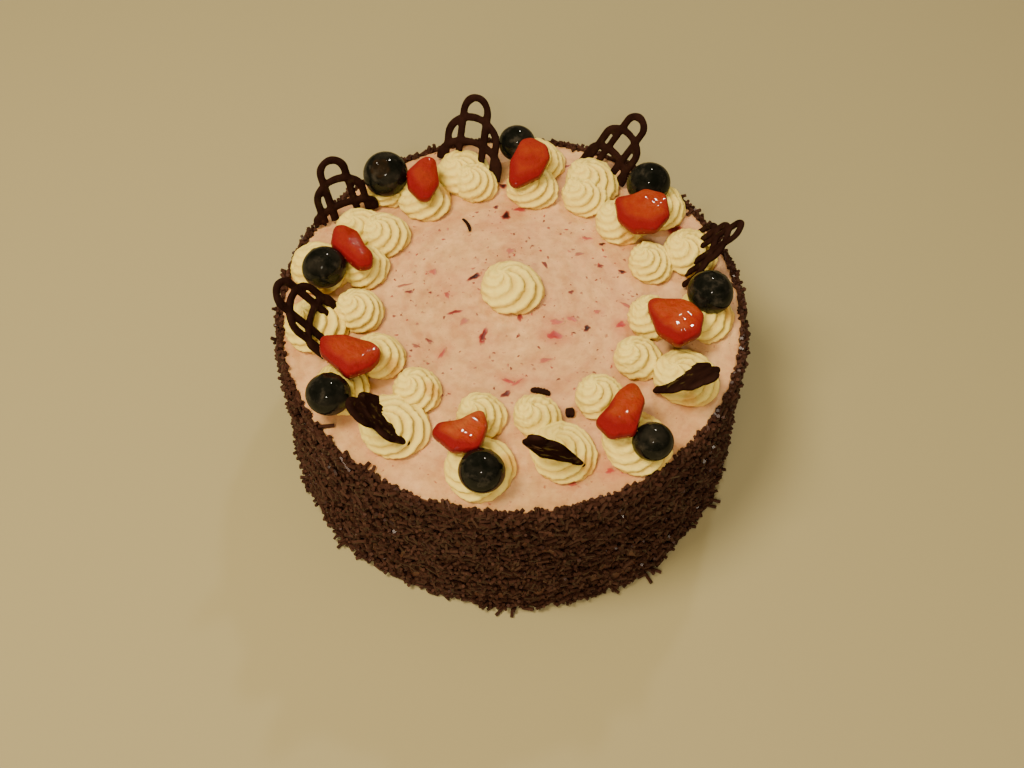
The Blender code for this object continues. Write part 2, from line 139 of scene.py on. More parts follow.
# Lattices: three nested arches of thread, from the narrow loop to the wide foot. Each has straight
# legs and a round top, whose height is a share of the half width
THREAD_WIDTH = 0.0036
THREAD_THICKNESS = 0.0023
THREAD_SIDES = 14
ARCH_ROUNDNESS = (1.15, 0.85, 0.75)
ARCH_STEPS = 44
LEG_STEPS = 8
LATTICE_FOOT = TOP_HEIGHT + 0.0014
LATTICE_VOXEL = 0.00045
# Cluster, ring radius and angle of the foot, its height above the top, turn from facing outward, lean
# outward, tip in its own plane, then the half width and height of each arch
LATTICES = (
    ("a", 81.2, 282.7, 11.0, -24, 17, 17, 2.2, 26.1, 6.6, 21.7, 6.4, 11.2),
    ("c", 77.0, 329.6, 4.0, -18, 38, 5, 2.3, 28.7, 6.2, 25.8, 8.9, 17.0),
    ("e", 82.7, 16.8, 4.0, -32, 29, 6, 3.8, 32.2, 8.4, 23.5, 14.5, 14.7),
    ("g", 87.1, 61.0, 4.0, -11, 20, 17, 4.5, 31.9, 9.1, 22.3, 11.0, 9.8),
    ("i", 81.3, 104.8, 4.0, -44, 31, -7, 6.0, 30.2, 12.4, 21.3, 15.3, 10.1),
    ("k", 89.1, 147.5, 4.0, -34, 13, -4, 5.4, 27.4, 10.4, 17.6, 13.5, 4.5),
    ("m", 80.3, 192.2, 8.5, -25, 31, -5, 5.4, 26.4, 10.3, 18.1, 11.7, 5.8),
    ("o", 78.6, 232.6, 8.5, -24, 35, -2, 3.9, 22.7, 5.5, 21.8, 10.5, 13.2),
)
# Lattices whose middle ran together: cluster, and the thickness of the web between their threads
WEBS = {"a": 2.4, "c": 2.5, "o": 1.2}

# Blueberries
BERRY_FLATNESS = 0.93
BERRY_SIDES = 52
BERRY_RINGS = 50
# The crown: how far its rim and the edge of its hollow are from its middle in degrees, how soft each is,
# and the rim's height and the hollow's depth as shares of the radius
CROWN_RIM = 19
CROWN_HOLLOW = 15
RIM_SOFTNESS = 4.5
HOLLOW_SOFTNESS = 1.8
RIM_HEIGHT = 0.045
HOLLOW_DEPTH = 0.13
# Cluster, ring radius, angle, height of the middle above the top, diameter, and the angle and height
# angle that the crown faces
BLUEBERRIES = (
    ("b", 90.8, 306.6, 11.6, 15.9, 95, 5),
    ("d", 82.5, 358.6, 12.5, 19.3, 60, 15),
    ("f", 84.7, 44.2, 12.5, 19.6, 100, 10),
    ("h", 83.8, 88.9, 12.0, 17.1, 80, 8),
    ("j", 85.0, 132.5, 12.7, 20.3, 250, 62),
    ("l", 79.8, 173.6, 12.4, 18.7, 120, 12),
    ("n", 88.9, 217.3, 12.3, 17.8, 75, 48),
    ("p", 87.2, 263.2, 12.4, 17.8, 85, 8),
)

# Strawberry halves, cut face up: the dome of the face, its dents and its share of the outline, the
# rounding of the corners in degrees and of the edge as a share of the depth, the grid, and the seeds
STRAWBERRY_SIDES = 96
STRAWBERRY_DOME = 0.0011
DENT_DEPTH = 0.00022
FINE_DENT_DEPTH = 0.00009
FACE_SHARE = 0.90
CORNER_ROUNDING = 7
ROUNDING_SHARE = 0.24
FACE_RINGS = 16
ROUNDING_RINGS = 8
SKIN_RINGS = 12
SEED_SPACING = 0.0034
SEED_ROWS = 3
SEED_SIDES = 8
SEED_SIZE = (0.00058, 0.00034, 0.00030)
SEED_SINK = 0.00022
# The way the juice ran in the cut faces
DEEP_SIDE = Vector((-0.35, -0.94, 0))
# Cluster, ring radius, angle, height of the face above the top, depth, direction of the tip, tilt
# towards the middle, and how ripe
STRAWBERRIES = (
    ("b", 75.2, 304.8, 18.1, 8.5, 64, 4, 0.35),
    ("d", 69.0, 344.4, 16.5, 8.5, 241, 6, 0.10),
    ("f", 68.9, 35.6, 16.7, 8.8, 170, 10, 0.35),
    ("h", 66.4, 84.7, 17.8, 8.8, 236, 22, 0.75),
    ("j", 69.9, 124.6, 16.5, 8.8, 263, 20, 0.85),
    ("l", 69.5, 165.3, 16.5, 8.2, 315, 12, 0.75),
    ("n", 73.5, 210.0, 16.8, 8.5, 353, 4, 0.60),
    ("p", 74.0, 255.5, 16.5, 8.2, 183, 4, 0.10),
)
# The corners of each cut face from its middle, the first coordinate towards the tip
CORNERS = {
    "b": ((-10, 7.8), (-2.1, 5.7), (6.6, 5.2), (13.4, 2.0),
          (12.7, -0.9), (7.4, -6), (-8.4, -8.5), (-14, -0.5)),
    "d": ((-5.3, -14.9), (-11, -2.2), (-10.9, 2.8), (-7.6, 9.1),
          (2, 11.8), (11.2, 6), (8.4, -4.7), (-0.7, -12.9)),
    "f": ((12.8, -5.7), (4, -8.4), (-0.1, -11.6), (-9.6, -9.5),
          (-12.6, 1.7), (-7.8, 9.9), (2.7, 11.3), (9.9, 5.7)),
    "h": ((-8.1, -8.5), (-11.6, -5.1), (-12.1, 2.8), (-7.9, 7.3),
          (2.1, 8.7), (12.7, 2.4), (12.6, -1.6), (3.6, -7)),
    "j": ((-11.3, -0.4), (-10.7, 3.5), (0.7, 7.5), (10.2, 4.5),
          (10.7, 0.4), (6.3, -5.9), (-1.4, -7.9), (-8.9, -3.3)),
    "l": ((-12.9, 0), (-12.5, 3.3), (-5.5, 6.8), (3.2, 4.3),
          (7.7, 4.5), (12.6, 0.2), (10.1, -4.8), (-6.9, -6.6)),
    "n": ((-13.4, 6.4), (-4.6, 8.4), (7.8, 6.8), (12, 3.8),
          (12.1, -0.9), (10.3, -5), (1.6, -11.2), (-11.8, -1.6)),
    "p": ((11.4, 0.2), (8.9, -4.2), (0.5, -5.4), (-8.7, -10.4),
          (-10.5, -2.7), (-8, 5.5), (-6.2, 8.1), (3.4, 8.3)),
}

# Where the fruit's glazing ran onto the cream, and where the same amber paints the warm shade at the right
# edges of the inner rosettes n and o and below the outer rosette c: X, Y and reach
GLAZE_AND_SHADE_SPOTS = (
    (-30.8, 59.5, 4.2), (51.0, 34.6, 3.8), (58.5, 34.7, 3.4), (53.0, -57.1, 4.2),
    (91.4, -7.3, 4.0), (0.8, -78.4, 4.0), (-31.3, -47.8, 3.4), (-47.3, -35.6, 3.4),
    (29.7, -79.3, 3.4), (-53.7, -34.4, 3.0), (71.2, -50.1, 3.2),
)

# Bits of fruit in the top: X, Y, half length, half width, heading, how dark and how red
FLECKS = (
    (-16.4, 14.8, 1.9, 1.0, 32, 0.95, 0.4), (-11.9, -16.8, 2.5, 1.1, 75, 0.78, 0.7),
    (-20.1, -9.4, 1.8, 1.0, 31, 0.30, 0.5), (-24.1, -4.5, 2.0, 0.7, 16, 0.65, 0.5),
    (-27.9, 4.8, 1.3, 0.8, -54, 0.45, 0.7), (-34.5, 17.1, 1.5, 1.0, -45, 0.35, 0.8),
    (-44.3, 6.2, 1.1, 0.7, 0, 0.60, 0.2), (-46.7, 9.7, 2.2, 0.5, 20, 0.35, 0.3),
    (-34.5, -19.1, 1.2, 0.6, -23, 0.55, 0.2), (-39.6, -22.0, 1.3, 0.6, -11, 0.40, 0.2),
    (-28.6, -26.1, 1.7, 0.7, 62, 0.45, 0.8), (-1.9, -45.2, 1.6, 0.9, 18, 0.75, 0.2),
    (-0.7, -39.0, 2.5, 0.6, -28, 0.50, 0.9), (2.5, -39.6, 2.1, 0.5, 35, 0.40, 0.9),
    (-7.7, 55.3, 0.9, 0.7, 0, 0.75, 0.2), (-3.1, 50.0, 1.9, 1.2, 49, 0.90, 0.4),
    (-1.0, 29.4, 1.6, 1.0, 48, 0.30, 0.7), (3.3, 54.0, 1.7, 1.2, 14, 0.60, 0.8),
    (14.4, 22.0, 1.2, 0.7, -57, 0.65, 0.2), (33.3, 37.5, 1.6, 0.7, 0, 0.45, 0.8),
    (39.9, 34.1, 1.0, 0.6, 0, 0.85, 0.2), (29.5, 28.4, 1.7, 0.6, 20, 0.35, 0.3),
    (38.6, 21.8, 1.1, 0.6, -6, 0.65, 0.3), (25.5, 6.9, 0.9, 0.7, 0, 0.60, 0.2),
    (48.1, 18.5, 1.3, 0.7, 0, 0.85, 0.4), (3.4, -6.2, 1.9, 0.8, -73, 0.60, 0.5),
    (18.8, -9.1, 2.0, 1.2, 13, 0.35, 0.9), (25.6, -7.4, 1.6, 1.0, -35, 0.35, 0.9),
    (17.9, -16.1, 2.6, 1.5, -17, 0.60, 1.0), (31.8, -12.0, 1.1, 1.0, 50, 0.90, 0.1),
    (36.3, -3.3, 1.1, 0.7, 0, 0.35, 0.8), (46.2, -10.0, 1.4, 1.3, -42, 0.60, 1.0),
    (48.9, 0.3, 2.2, 0.5, -34, 0.40, 0.6), (14.0, -28.5, 2.1, 0.8, 7, 0.35, 0.7),
    (38.6, -79.5, 1.3, 0.9, 0, 0.50, 1.0), (44.4, -79.5, 1.4, 0.9, 0, 0.70, 0.8),
    (24.2, -85.3, 1.2, 0.7, 0, 0.45, 0.9), (-4.7, 68.4, 1.4, 0.9, 0, 0.85, 0.3),
    (73.1, 43.4, 2.4, 1.9, 60, 0.75, 0.8), (20.0, 79.0, 4.5, 1.2, 27, 0.85, 0.4),
)
FLECK_GROWTH = 1.4
FLECK_SIDES = 14
# Each ring's share of the outline and its height in metres
FLECK_SECTION = ((1.25, -0.00020), (1.10, 0.00005), (0.75, 0.00018), (0.36, 0.00026))
# The smallest ones are scattered: how many, and how far from the axis
SMALL_FLECKS = 210
FLECK_FIELD = 0.056

# Chocolate that fell on the top: X, Y, length, width, thickness, heading, and how far it bends
BIT_SIDES = 12
BIT_STEPS = 18
TOP_BITS = (
    (12.0, -44.4, 8.5, 2.6, 1.3, 347, 0.6),
    (23.7, -54.1, 3.8, 4.0, 2.2, 4, 0.0),
    (-21.0, 43.9, 8.4, 1.4, 1.1, 296, 0.9),
)

# The camera: place in metres, angle below the horizon and roll in radians, lens and sensor width in mm
CAMERA_PLACE = (0.00051, -0.25781, 0.42283)
CAMERA_PITCH = 1.0056
CAMERA_ROLL = -0.0114
CAMERA_LENS = 35.16
SENSOR_WIDTH = 36

KEY_COLOUR = (1.0, 0.79, 0.44)
FILL_COLOUR = (1.0, 0.72, 0.33)
LAMP_COLOUR = (1.0, 0.90, 0.72)
# Name, place, size in metres, power in watts, colour, and whether it shows in shiny things
LIGHTS = (
    ("key", (-0.46, -0.14, 1.14), 0.40, 17.0, KEY_COLOUR, False),
    ("sky", (0.1, 0.0, 2.2), 2.2, 19.0, FILL_COLOUR, False),
    ("front", (-0.35, -1.35, 0.95), 1.0, 14.0, FILL_COLOUR, False),
    ("lamp_front", (-0.05, -0.90, 1.02), 0.075, 3.0, LAMP_COLOUR, True),
    ("lamp_back", (0.26, 0.76, 1.02), 0.075, 3.0, LAMP_COLOUR, True),
)
WORLD_STRENGTH = 0.10
FLOOR_HALF = 4
FLOOR_DROP = 0.0001
FLOOR_COLOUR = (0.350, 0.330, 0.222)

# How much the knife marks in the top change round the axis, against across it
ARC_SHARE = 0.016

# Colours of the cream, and of what lies in it or on it
PINK = (0.597, 0.364, 0.211)
PINK_DEEP = (0.575, 0.325, 0.196)
PINK_PALE = (0.645, 0.408, 0.240)
CREAM = (0.90, 0.78, 0.229)
CREAM_DULL = (0.85, 0.72, 0.197)
BERRY_SMEAR = (0.42, 0.155, 0.112)
BERRY_SPECK = (0.31, 0.080, 0.065)
BERRY_JUICE = (0.42, 0.085, 0.066)
# Amber of the glazing, which at a few rosette edges is also painted warm shade
GLAZE_AND_SHADE_ON_PINK = (0.50, 0.20, 0.045)
GLAZE_AND_SHADE_ON_CREAM = (0.60, 0.32, 0.075)
STRAWBERRY_RIM = (0.185, 0.0095, 0.0160)
BLUEBERRY_FROST = (0.030, 0.027, 0.025)
BLUEBERRY_CROWN = (0.024, 0.014, 0.008)


def polar(angle, radius, height=0.0):
    turn = radians(angle)
    return Vector((radius * cos(turn), radius * sin(turn), height))


# Meshes


def add_mesh(name, points, faces, surfaces, smooth=True, sharp=None):
    """An object from points and faces in the row frame."""
    mesh = bpy.data.meshes.new(name)
    mesh.from_pydata(np.asarray(points).tolist(), [], faces)
    for surface in surfaces:
        mesh.materials.append(surface)
    if smooth:
        mesh.shade_smooth()
    if sharp is not None:
        mesh.set_sharp_from_angle(angle=radians(sharp))
    obj = bpy.data.objects.new(name, mesh)
    bpy.context.scene.collection.objects.link(obj)
    return obj


def loft(rings, first=None, last=None):
    """Points and faces of a skin through rings of equal length. An end given as a point is closed there."""
    count = len(rings[0])
    points = [point for ring in rings for point in ring]
    faces = []
    for level in range(len(rings) - 1):
        low = level * count
        high = low + count
        for n in range(count):
            after = (n + 1) % count
            faces.append((low + n, low + after, high + after, high + n))
    for end, start, forward in ((first, 0, False), (last, (len(rings) - 1) * count, True)):
        if end is None:
            continue
        points.append(end)
        tip = len(points) - 1
        for n in range(count):
            after = (n + 1) % count
            faces.append((start + n, start + after, tip) if forward else (start + after, start + n, tip))
    return points, faces


def join(points, faces, more, more_faces):
    """Adds the points and faces of one more shape to the lists."""
    start = len(points)
    points += more
    faces += [tuple(index + start for index in face) for face in more_faces]


def steps_round(count):
    """Each angle of a ring with its cosine and sine."""
    for n in range(count):
        turn = TAU * n / count
        yield turn, cos(turn), sin(turn)


def placed(x, y, along, across, heading):
    """X and Y in metres of a point that lies this far in mm along and across a heading from x, y."""
    turn = radians(heading)
    px = (x + along * cos(turn) - across * sin(turn)) / 1000
    py = (y + along * sin(turn) + across * cos(turn)) / 1000
    return px, py


def set_value(obj, name, values):
    """A number for each point of the mesh, which a material can read."""
    made = obj.data.attributes.new(name, "FLOAT", "POINT")
    made.data.foreach_set("value", np.asarray(values, np.float32))


def waves(x, y, length, count, draw):
    """A smooth random surface between about -1 and 1, with features of this length."""
    total = np.zeros_like(x)
    for _ in range(count):
        heading = draw.uniform(0, TAU)
        size = TAU / (length * draw.uniform(0.7, 1.5))
        total += np.sin(size * (x * cos(heading) + y * sin(heading)) + draw.uniform(0, TAU))
    return total / sqrt(count)


# Materials


def new_material(name, roughness, **values):
    made = bpy.data.materials.new(name)
    made.use_nodes = True
    shader = made.node_tree.nodes["Principled BSDF"]
    shader.inputs["Roughness"].default_value = roughness
    for key, value in values.items():
        shader.inputs[key.replace("_", " ")].default_value = value
    return made, made.node_tree, shader


def add_node(tree, kind, **inputs):
    made = tree.nodes.new(kind)
    for key, value in inputs.items():
        made.inputs[key.replace("_", " ")].default_value = value
    return made


def place_of(tree):
    """The place in the row frame."""
    return tree.nodes.new("ShaderNodeTexCoord").outputs["Object"]


def noise(tree, scale, detail=3.0, roughness=0.55, place=None):
    """Noise in the row frame or at another place, scale in features per metre."""
    made = add_node(tree, "ShaderNodeTexNoise", Scale=scale, Detail=detail, Roughness=roughness)
    tree.links.new(place or place_of(tree), made.inputs["Vector"])
    return made.outputs["Fac"]


def paint(tree, shader, colour):
    tree.links.new(colour, shader.inputs["Base Color"])


def value_of(tree, name):
    made = tree.nodes.new("ShaderNodeAttribute")
    made.attribute_name = name
    return made.outputs["Fac"]


def ramp(tree, source, *stops):
    """Colours along a number. Each stop is a place and a colour, or a place and a grey."""
    made = tree.nodes.new("ShaderNodeValToRGB")
    steps = made.color_ramp.elements
    while len(steps) < len(stops):
        steps.new(0.5)
    for step, (place, colour) in zip(steps, stops):
        step.position = place
        step.color = (*colour, 1) if isinstance(colour, tuple) else (colour, colour, colour, 1)
    tree.links.new(source, made.inputs["Fac"])
    return made.outputs["Color"]


def blend(tree, amount, first, second, kind="MIX"):
    made = tree.nodes.new("ShaderNodeMix")
    made.data_type = "RGBA"
    made.blend_type = kind
    for name, value in (("Factor", amount), ("A", first), ("B", second)):
        socket = made.inputs[name]
        if isinstance(value, tuple):
            socket.default_value = (*value, 1)
        elif isinstance(value, float):
            socket.default_value = value
        else:
            tree.links.new(value, socket)
    return made.outputs["Result"]


def bump(tree, shader, source, distance, strength=1.0, under=None):
    made = add_node(tree, "ShaderNodeBump", Strength=strength, Distance=distance)
    tree.links.new(source, made.inputs["Height"])
    if under is not None:
        tree.links.new(under, made.inputs["Normal"])
    tree.links.new(made.outputs["Normal"], shader.inputs["Normal"])
    return made.outputs["Normal"]


def vector_math(tree, operation, first, second=None):
    """The vector or length that comes out. The second value is a tuple or another node's result."""
    made = tree.nodes.new("ShaderNodeVectorMath")
    made.operation = operation
    tree.links.new(first, made.inputs[0])
    if isinstance(second, tuple):
        made.inputs[1].default_value = second
    elif second is not None:
        tree.links.new(second, made.inputs[1])
    return made.outputs["Value" if operation == "LENGTH" else "Vector"]


def streaks(tree, scale):
    """Noise drawn out in arcs round the axis, as a palette knife leaves them."""
    flat = vector_math(tree, "MULTIPLY", place_of(tree), (1, 1, 0))
    up = tree.nodes.new("ShaderNodeCombineXYZ")
    tree.links.new(vector_math(tree, "LENGTH", flat), up.inputs["Z"])
    facing = vector_math(tree, "NORMALIZE", flat)
    near = vector_math(tree, "MULTIPLY", facing, (ARC_SHARE, ARC_SHARE, 0))
    return noise(tree, scale, place=vector_math(tree, "ADD", near, up.outputs["Vector"]))


def pink_cream():
    made, tree, shader = new_material(
        "pink berry cream", 0.45, Subsurface_Weight=0.12, Subsurface_Scale=0.003, Specular_IOR_Level=0.28
    )
    cloud = ramp(tree, noise(tree, 60, 5, 0.65), (0.34, PINK_DEEP), (0.50, PINK), (0.66, PINK_PALE))
    warm = ramp(tree, noise(tree, 22, 2), (0.40, (0.985, 0.97, 0.96)), (0.60, (0.985, 1.0, 0.95)))
    cloud = blend(tree, 1.0, cloud, warm, "MULTIPLY")
    darker, paler = (0.36, (0.86, 0.80, 0.74)), (0.66, (1.10, 1.12, 1.14))
    arcs = ramp(tree, streaks(tree, 170), darker, (0.50, 1.0), paler)
    base = blend(tree, 0.7, cloud, arcs, "MULTIPLY")
    darker, paler = (0.36, (0.86, 0.80, 0.78)), (0.64, (1.10, 1.12, 1.12))
    grain = ramp(tree, noise(tree, 240, 4, 0.7), darker, (0.50, 1.0), paler)
    base = blend(tree, 0.6, base, grain, "MULTIPLY")
    smears = ramp(tree, noise(tree, 150, 5, 0.68), (0.63, 0.0), (0.74, 0.55))
    base = blend(tree, smears, base, BERRY_SMEAR)
    specks = ramp(tree, noise(tree, 480, 3, 0.6), (0.64, 0.0), (0.73, 0.75))
    base = blend(tree, specks, base, BERRY_SPECK)
    base = blend(tree, value_of(tree, "red"), base, BERRY_JUICE)
    # Glazing on the top, and painted warm shade at a few rosette edges
    base = blend(tree, value_of(tree, "glaze_and_shade"), base, GLAZE_AND_SHADE_ON_PINK)
    coat = ramp(tree, noise(tree, 260, 2), (0.35, (0.100, 0.048, 0.034)), (0.7, (0.150, 0.074, 0.054)))
    base = blend(tree, value_of(tree, "coat"), base, coat)
    paint(tree, shader, base)
    fine = bump(tree, shader, noise(tree, 900, 3), 0.00010, 0.5)
    marks = bump(tree, shader, streaks(tree, 240), 0.0006, 0.6, fine)
    bump(tree, shader, noise(tree, 150, 3), 0.0006, 0.6, marks)
    return made


def white_cream():
    made, tree, shader = new_material(
        "white cream", 0.40, Subsurface_Weight=0.10, Subsurface_Scale=0.002, Specular_IOR_Level=0.4
    )
    shader.inputs["Subsurface Radius"].default_value = (1.0, 0.7, 0.4)
    tone = ramp(tree, noise(tree, 70, 3), (0.3, CREAM_DULL), (0.7, CREAM))
    # Painted shade: the grooves between the ridges are darkened where shade falls in them
    groove_shade = ramp(tree, value_of(tree, "groove_shade"), (0.20, 1.0), (1.0, (0.74, 0.65, 0.54)))
    base = blend(tree, 1.0, tone, groove_shade, "MULTIPLY")
    # Painted shadow: the foot of each swirl is darkened, most on the side away from the key light
    low = ramp(tree, value_of(tree, "low"), (0.0, 1.0), (1.0, (0.76, 0.58, 0.58)))
    base = blend(tree, 1.0, base, low, "MULTIPLY")
    # Glazing on the cream, and painted warm shade at a few rosette edges; the cream is made shinier there
    # too
    glaze_and_shade = value_of(tree, "glaze_and_shade")
    base = blend(tree, glaze_and_shade, base, GLAZE_AND_SHADE_ON_CREAM)
    paint(tree, shader, base)
    gloss = ramp(tree, glaze_and_shade, (0.1, 0.40), (0.5, 0.10))
    tree.links.new(gloss, shader.inputs["Roughness"])
    fine = bump(tree, shader, noise(tree, 1500, 3), 0.00010, 0.6)
    bump(tree, shader, noise(tree, 420, 4, 0.65), 0.0006, 0.7, fine)
    return made


def chocolate():
    """Dark chocolate that shines in spots."""
    made, tree, shader = new_material(
        "piped dark chocolate", 0.2, Specular_IOR_Level=0.0, Coat_Roughness=0.06
    )
    base = ramp(tree, noise(tree, 160, 4), (0.3, (0.0122, 0.0054, 0.0054)), (0.7, (0.0245, 0.0108, 0.0098)))
    paint(tree, shader, base)
    glints = ramp(tree, noise(tree, 260, 2), (0.58, 0.0), (0.66, 0.20))
    tree.links.new(glints, shader.inputs["Coat Weight"])
    bump(tree, shader, noise(tree, 420, 3), 0.0006, 0.6)
    return made


def sprinkle_chocolate():
    made, tree, shader = new_material(
        "chocolate sprinkle", 0.4, Specular_IOR_Level=0.0, Coat_Weight=0.40, Coat_Roughness=0.24
    )
    dark, middle, light = (0.032, 0.0138, 0.0116), (0.045, 0.0202, 0.0168), (0.070, 0.0335, 0.0285)
    base = ramp(tree, value_of(tree, "tone"), (0.0, dark), (0.55, middle), (1.0, light))
    paint(tree, shader, base)
    bump(tree, shader, noise(tree, 2500, 2), 0.0001, 0.4)
    return made


def fruit_fleck():
    """Pink at a fleck's thin edge, then darker as it gets thicker, brown or rosy."""
    made, tree, shader = new_material("fruit in the cream", 0.35, Specular_IOR_Level=0.4)
    tone = value_of(tree, "tone")
    thin, middle, thick = (0.33, 0.15, 0.115), (0.14, 0.046, 0.046), (0.024, 0.009, 0.011)
    brown = ramp(tree, tone, (0.0, PINK), (0.30, thin), (0.60, middle), (0.95, thick))
    thin, middle, thick = (0.50, 0.15, 0.125), (0.38, 0.034, 0.042), (0.045, 0.007, 0.010)
    rosy = ramp(tree, tone, (0.0, PINK), (0.30, thin), (0.60, middle), (0.95, thick))
    base = blend(tree, value_of(tree, "red"), brown, rosy)
    shade = ramp(tree, noise(tree, 900, 3), (0.3, (0.72, 0.70, 0.70)), (0.7, 1.0))
    paint(tree, shader, blend(tree, 0.6, base, shade, "MULTIPLY"))
    bump(tree, shader, noise(tree, 1400, 2), 0.0002, 0.5)
    return made


def strawberry_flesh():
    made, tree, shader = new_material(
        "glazed strawberry", 0.3, Subsurface_Weight=0.05, Subsurface_Scale=0.001,
        Coat_Weight=0.55, Coat_Roughness=0.03, Specular_IOR_Level=0.0,
    )
    grain = noise(tree, 130, 5, 0.65)
    dark, middle, light = (0.255, 0.023, 0.013), (0.300, 0.046, 0.017), (0.325, 0.080, 0.026)
    pale = ramp(tree, grain, (0.32, dark), (0.50, middle), (0.68, light))
    deep = ramp(tree, grain, (0.32, (0.190, 0.011, 0.0140)), (0.68, (0.242, 0.024, 0.0170)))
    middle = blend(tree, value_of(tree, "ripe"), pale, deep)
    face = blend(tree, value_of(tree, "edge"), middle, STRAWBERRY_RIM)
    skin = ramp(tree, noise(tree, 90, 3), (0.3, (0.150, 0.0075, 0.015)), (0.7, (0.210, 0.0110, 0.019)))
    base = blend(tree, value_of(tree, "skin"), face, skin)
    paint(tree, shader, base)
    bump(tree, shader, noise(tree, 560, 3), 0.0010, 0.7)
    return made


def strawberry_seed():
    made, tree, shader = new_material("strawberry seed", 0.3, Coat_Weight=0.8, Coat_Roughness=0.06)
    base = ramp(tree, noise(tree, 500, 2), (0.3, (0.26, 0.07, 0.02)), (0.7, (0.38, 0.15, 0.04)))
    paint(tree, shader, base)
    return made


def blueberry_skin():
    made, tree, shader = new_material(
        "glazed blueberry", 0.35, Specular_IOR_Level=0.0, Coat_Weight=0.45, Coat_Roughness=0.02
    )
    dark, middle, light = (0.0030, 0.0038, 0.0036), (0.0068, 0.0076, 0.0074), (0.036, 0.033, 0.031)
    base = ramp(tree, noise(tree, 200, 5, 0.6), (0.38, dark), (0.54, middle), (0.70, light))
    frost = ramp(tree, noise(tree, 75, 3), (0.52, 0.0), (0.72, 0.6))
    base = blend(tree, frost, base, BLUEBERRY_FROST)
    base = blend(tree, value_of(tree, "crown"), base, BLUEBERRY_CROWN)
    paint(tree, shader, base)
    bump(tree, shader, noise(tree, 330, 3), 0.0005, 0.5)
    return made


def plain_floor():
    made, tree, shader = new_material("floor", 0.8, Specular_IOR_Level=0.1)
    shader.inputs["Base Color"].default_value = (*FLOOR_COLOUR, 1)
    return made


# The body


def foot_bump(turn):
    out = 0.0
    for middle, width, amount in FOOT_BUMPS:
        away = (turn - middle + 180) % 360 - 180
        out += amount * exp(-((away / width) ** 2))
    return out / 1000


def side_radius(turn, height):
    """The coat's radius at an angle in degrees and a height, as in the CAD."""
    heights = (0.0, WAIST_HEIGHT, TOP_HEIGHT - SHOULDER_DROP, TOP_HEIGHT)
    radii = (FOOT_RADIUS, WAIST_RADIUS, SHOULDER_RADIUS, TOP_RADIUS)
    bump_out = foot_bump(turn) * (1 - height / TOP_HEIGHT)
    for low, high, near, far in zip(heights, heights[1:], radii, radii[1:]):
        if height <= high:
            return near + (far - near) * (height - low) / (high - low) + bump_out
    return radii[-1]


def body_relief(x, y):
    """How far the spread cream on top is above or below its mean level."""
    draw = random.Random(11)
    broad = waves(x, y, 0.030, 7, draw)
    marks = waves(x, y, 0.007, 9, draw)
    return 0.00016 * broad + 0.00007 * marks - 0.00022


def level_ring(turns, radii, level):
    return np.stack([radii * np.cos(turns), radii * np.sin(turns), np.full(len(turns), level)], 1)


def make_body(surface):
    turns = np.linspace(0, TAU, BODY_SIDES, endpoint=False)
    rings = []
    coat = []
    for n in range(1, TOP_GRID_RINGS + 1):
        radius = TOP_EDGE * n / TOP_GRID_RINGS
        x, y = radius * np.cos(turns), radius * np.sin(turns)
        rings.append(np.stack([x, y, TOP_HEIGHT + body_relief(x, y)], 1))
        coat.append(0.0)
    for step in range(1, EDGE_RINGS + 1):
        slope = pi / 2 * step / EDGE_RINGS
        level = TOP_HEIGHT - EDGE_DROP - EDGE_ROUNDING * (1 - cos(slope))
        rings.append(level_ring(turns, TOP_EDGE + EDGE_ROUNDING * sin(slope), level))
        coat.append(1.0 if step > EDGE_RINGS / 3 else 0.0)
    lowest = TOP_HEIGHT - EDGE_ROUNDING
    for n in range(1, SIDE_GRID_RINGS + 1):
        level = lowest * (1 - n / SIDE_GRID_RINGS)
        radii = np.array([side_radius(degrees(turn), level) - COAT_DEPTH for turn in turns])
        rings.append(level_ring(turns, radii, level))
        coat.append(1.0)
    points, faces = loft(rings[::-1], (0, 0, 0), (0, 0, TOP_HEIGHT - 0.0002))
    obj = add_mesh("cake_body", points, faces, [surface])
    set_value(obj, "coat", np.concatenate([np.repeat(coat[::-1], BODY_SIDES), [1.0, 0.0]]))
    place = np.asarray(points)
    on_top = place[:, 2] > TOP_HEIGHT - 0.002
    set_value(obj, "red", juice_values(place[:, 0], place[:, 1]) * on_top)
    # Glazing on the top, and painted warm shade next to a few rosettes
    set_value(obj, "glaze_and_shade", 0.7 * glaze_and_shade_values(place) * on_top)
    return obj


def juice_values(x, y):
    """How red the cream is at each point, from the juice of the redder bits of fruit."""
    red = np.zeros_like(x)
    for middle_x, middle_y, length, width, heading, _, redness in FLECKS:
        turn = radians(heading)
        over, up = x * 1000 - middle_x, y * 1000 - middle_y
        along = (over * cos(turn) + up * sin(turn)) / (length * 1.9 + 1.0)
        across = (up * cos(turn) - over * sin(turn)) / (width * 1.9 + 1.0)
        red = np.maximum(red, 0.55 * redness ** 1.6 * np.exp(-0.7 * (along ** 2 + across ** 2)))
    return red


def fleck_rows(draw):
    """The flecks of the table and the scattered small ones."""
    rows = []
    for x, y, length, width, *rest in FLECKS:
        rows.append((x, y, length * FLECK_GROWTH, width * FLECK_GROWTH, *rest))
    for _ in range(SMALL_FLECKS):
        spot = polar(draw.uniform(0, 360), FLECK_FIELD * sqrt(draw.random()))
        size = draw.uniform(0.35, 0.85)
        red = draw.choice((0.1, 0.3, 0.8))
        heading, dark = draw.uniform(0, 180), draw.uniform(0.15, 0.6)
        rows.append((spot.x * 1000, spot.y * 1000, size, size * 0.65, heading, dark, red))
    return rows


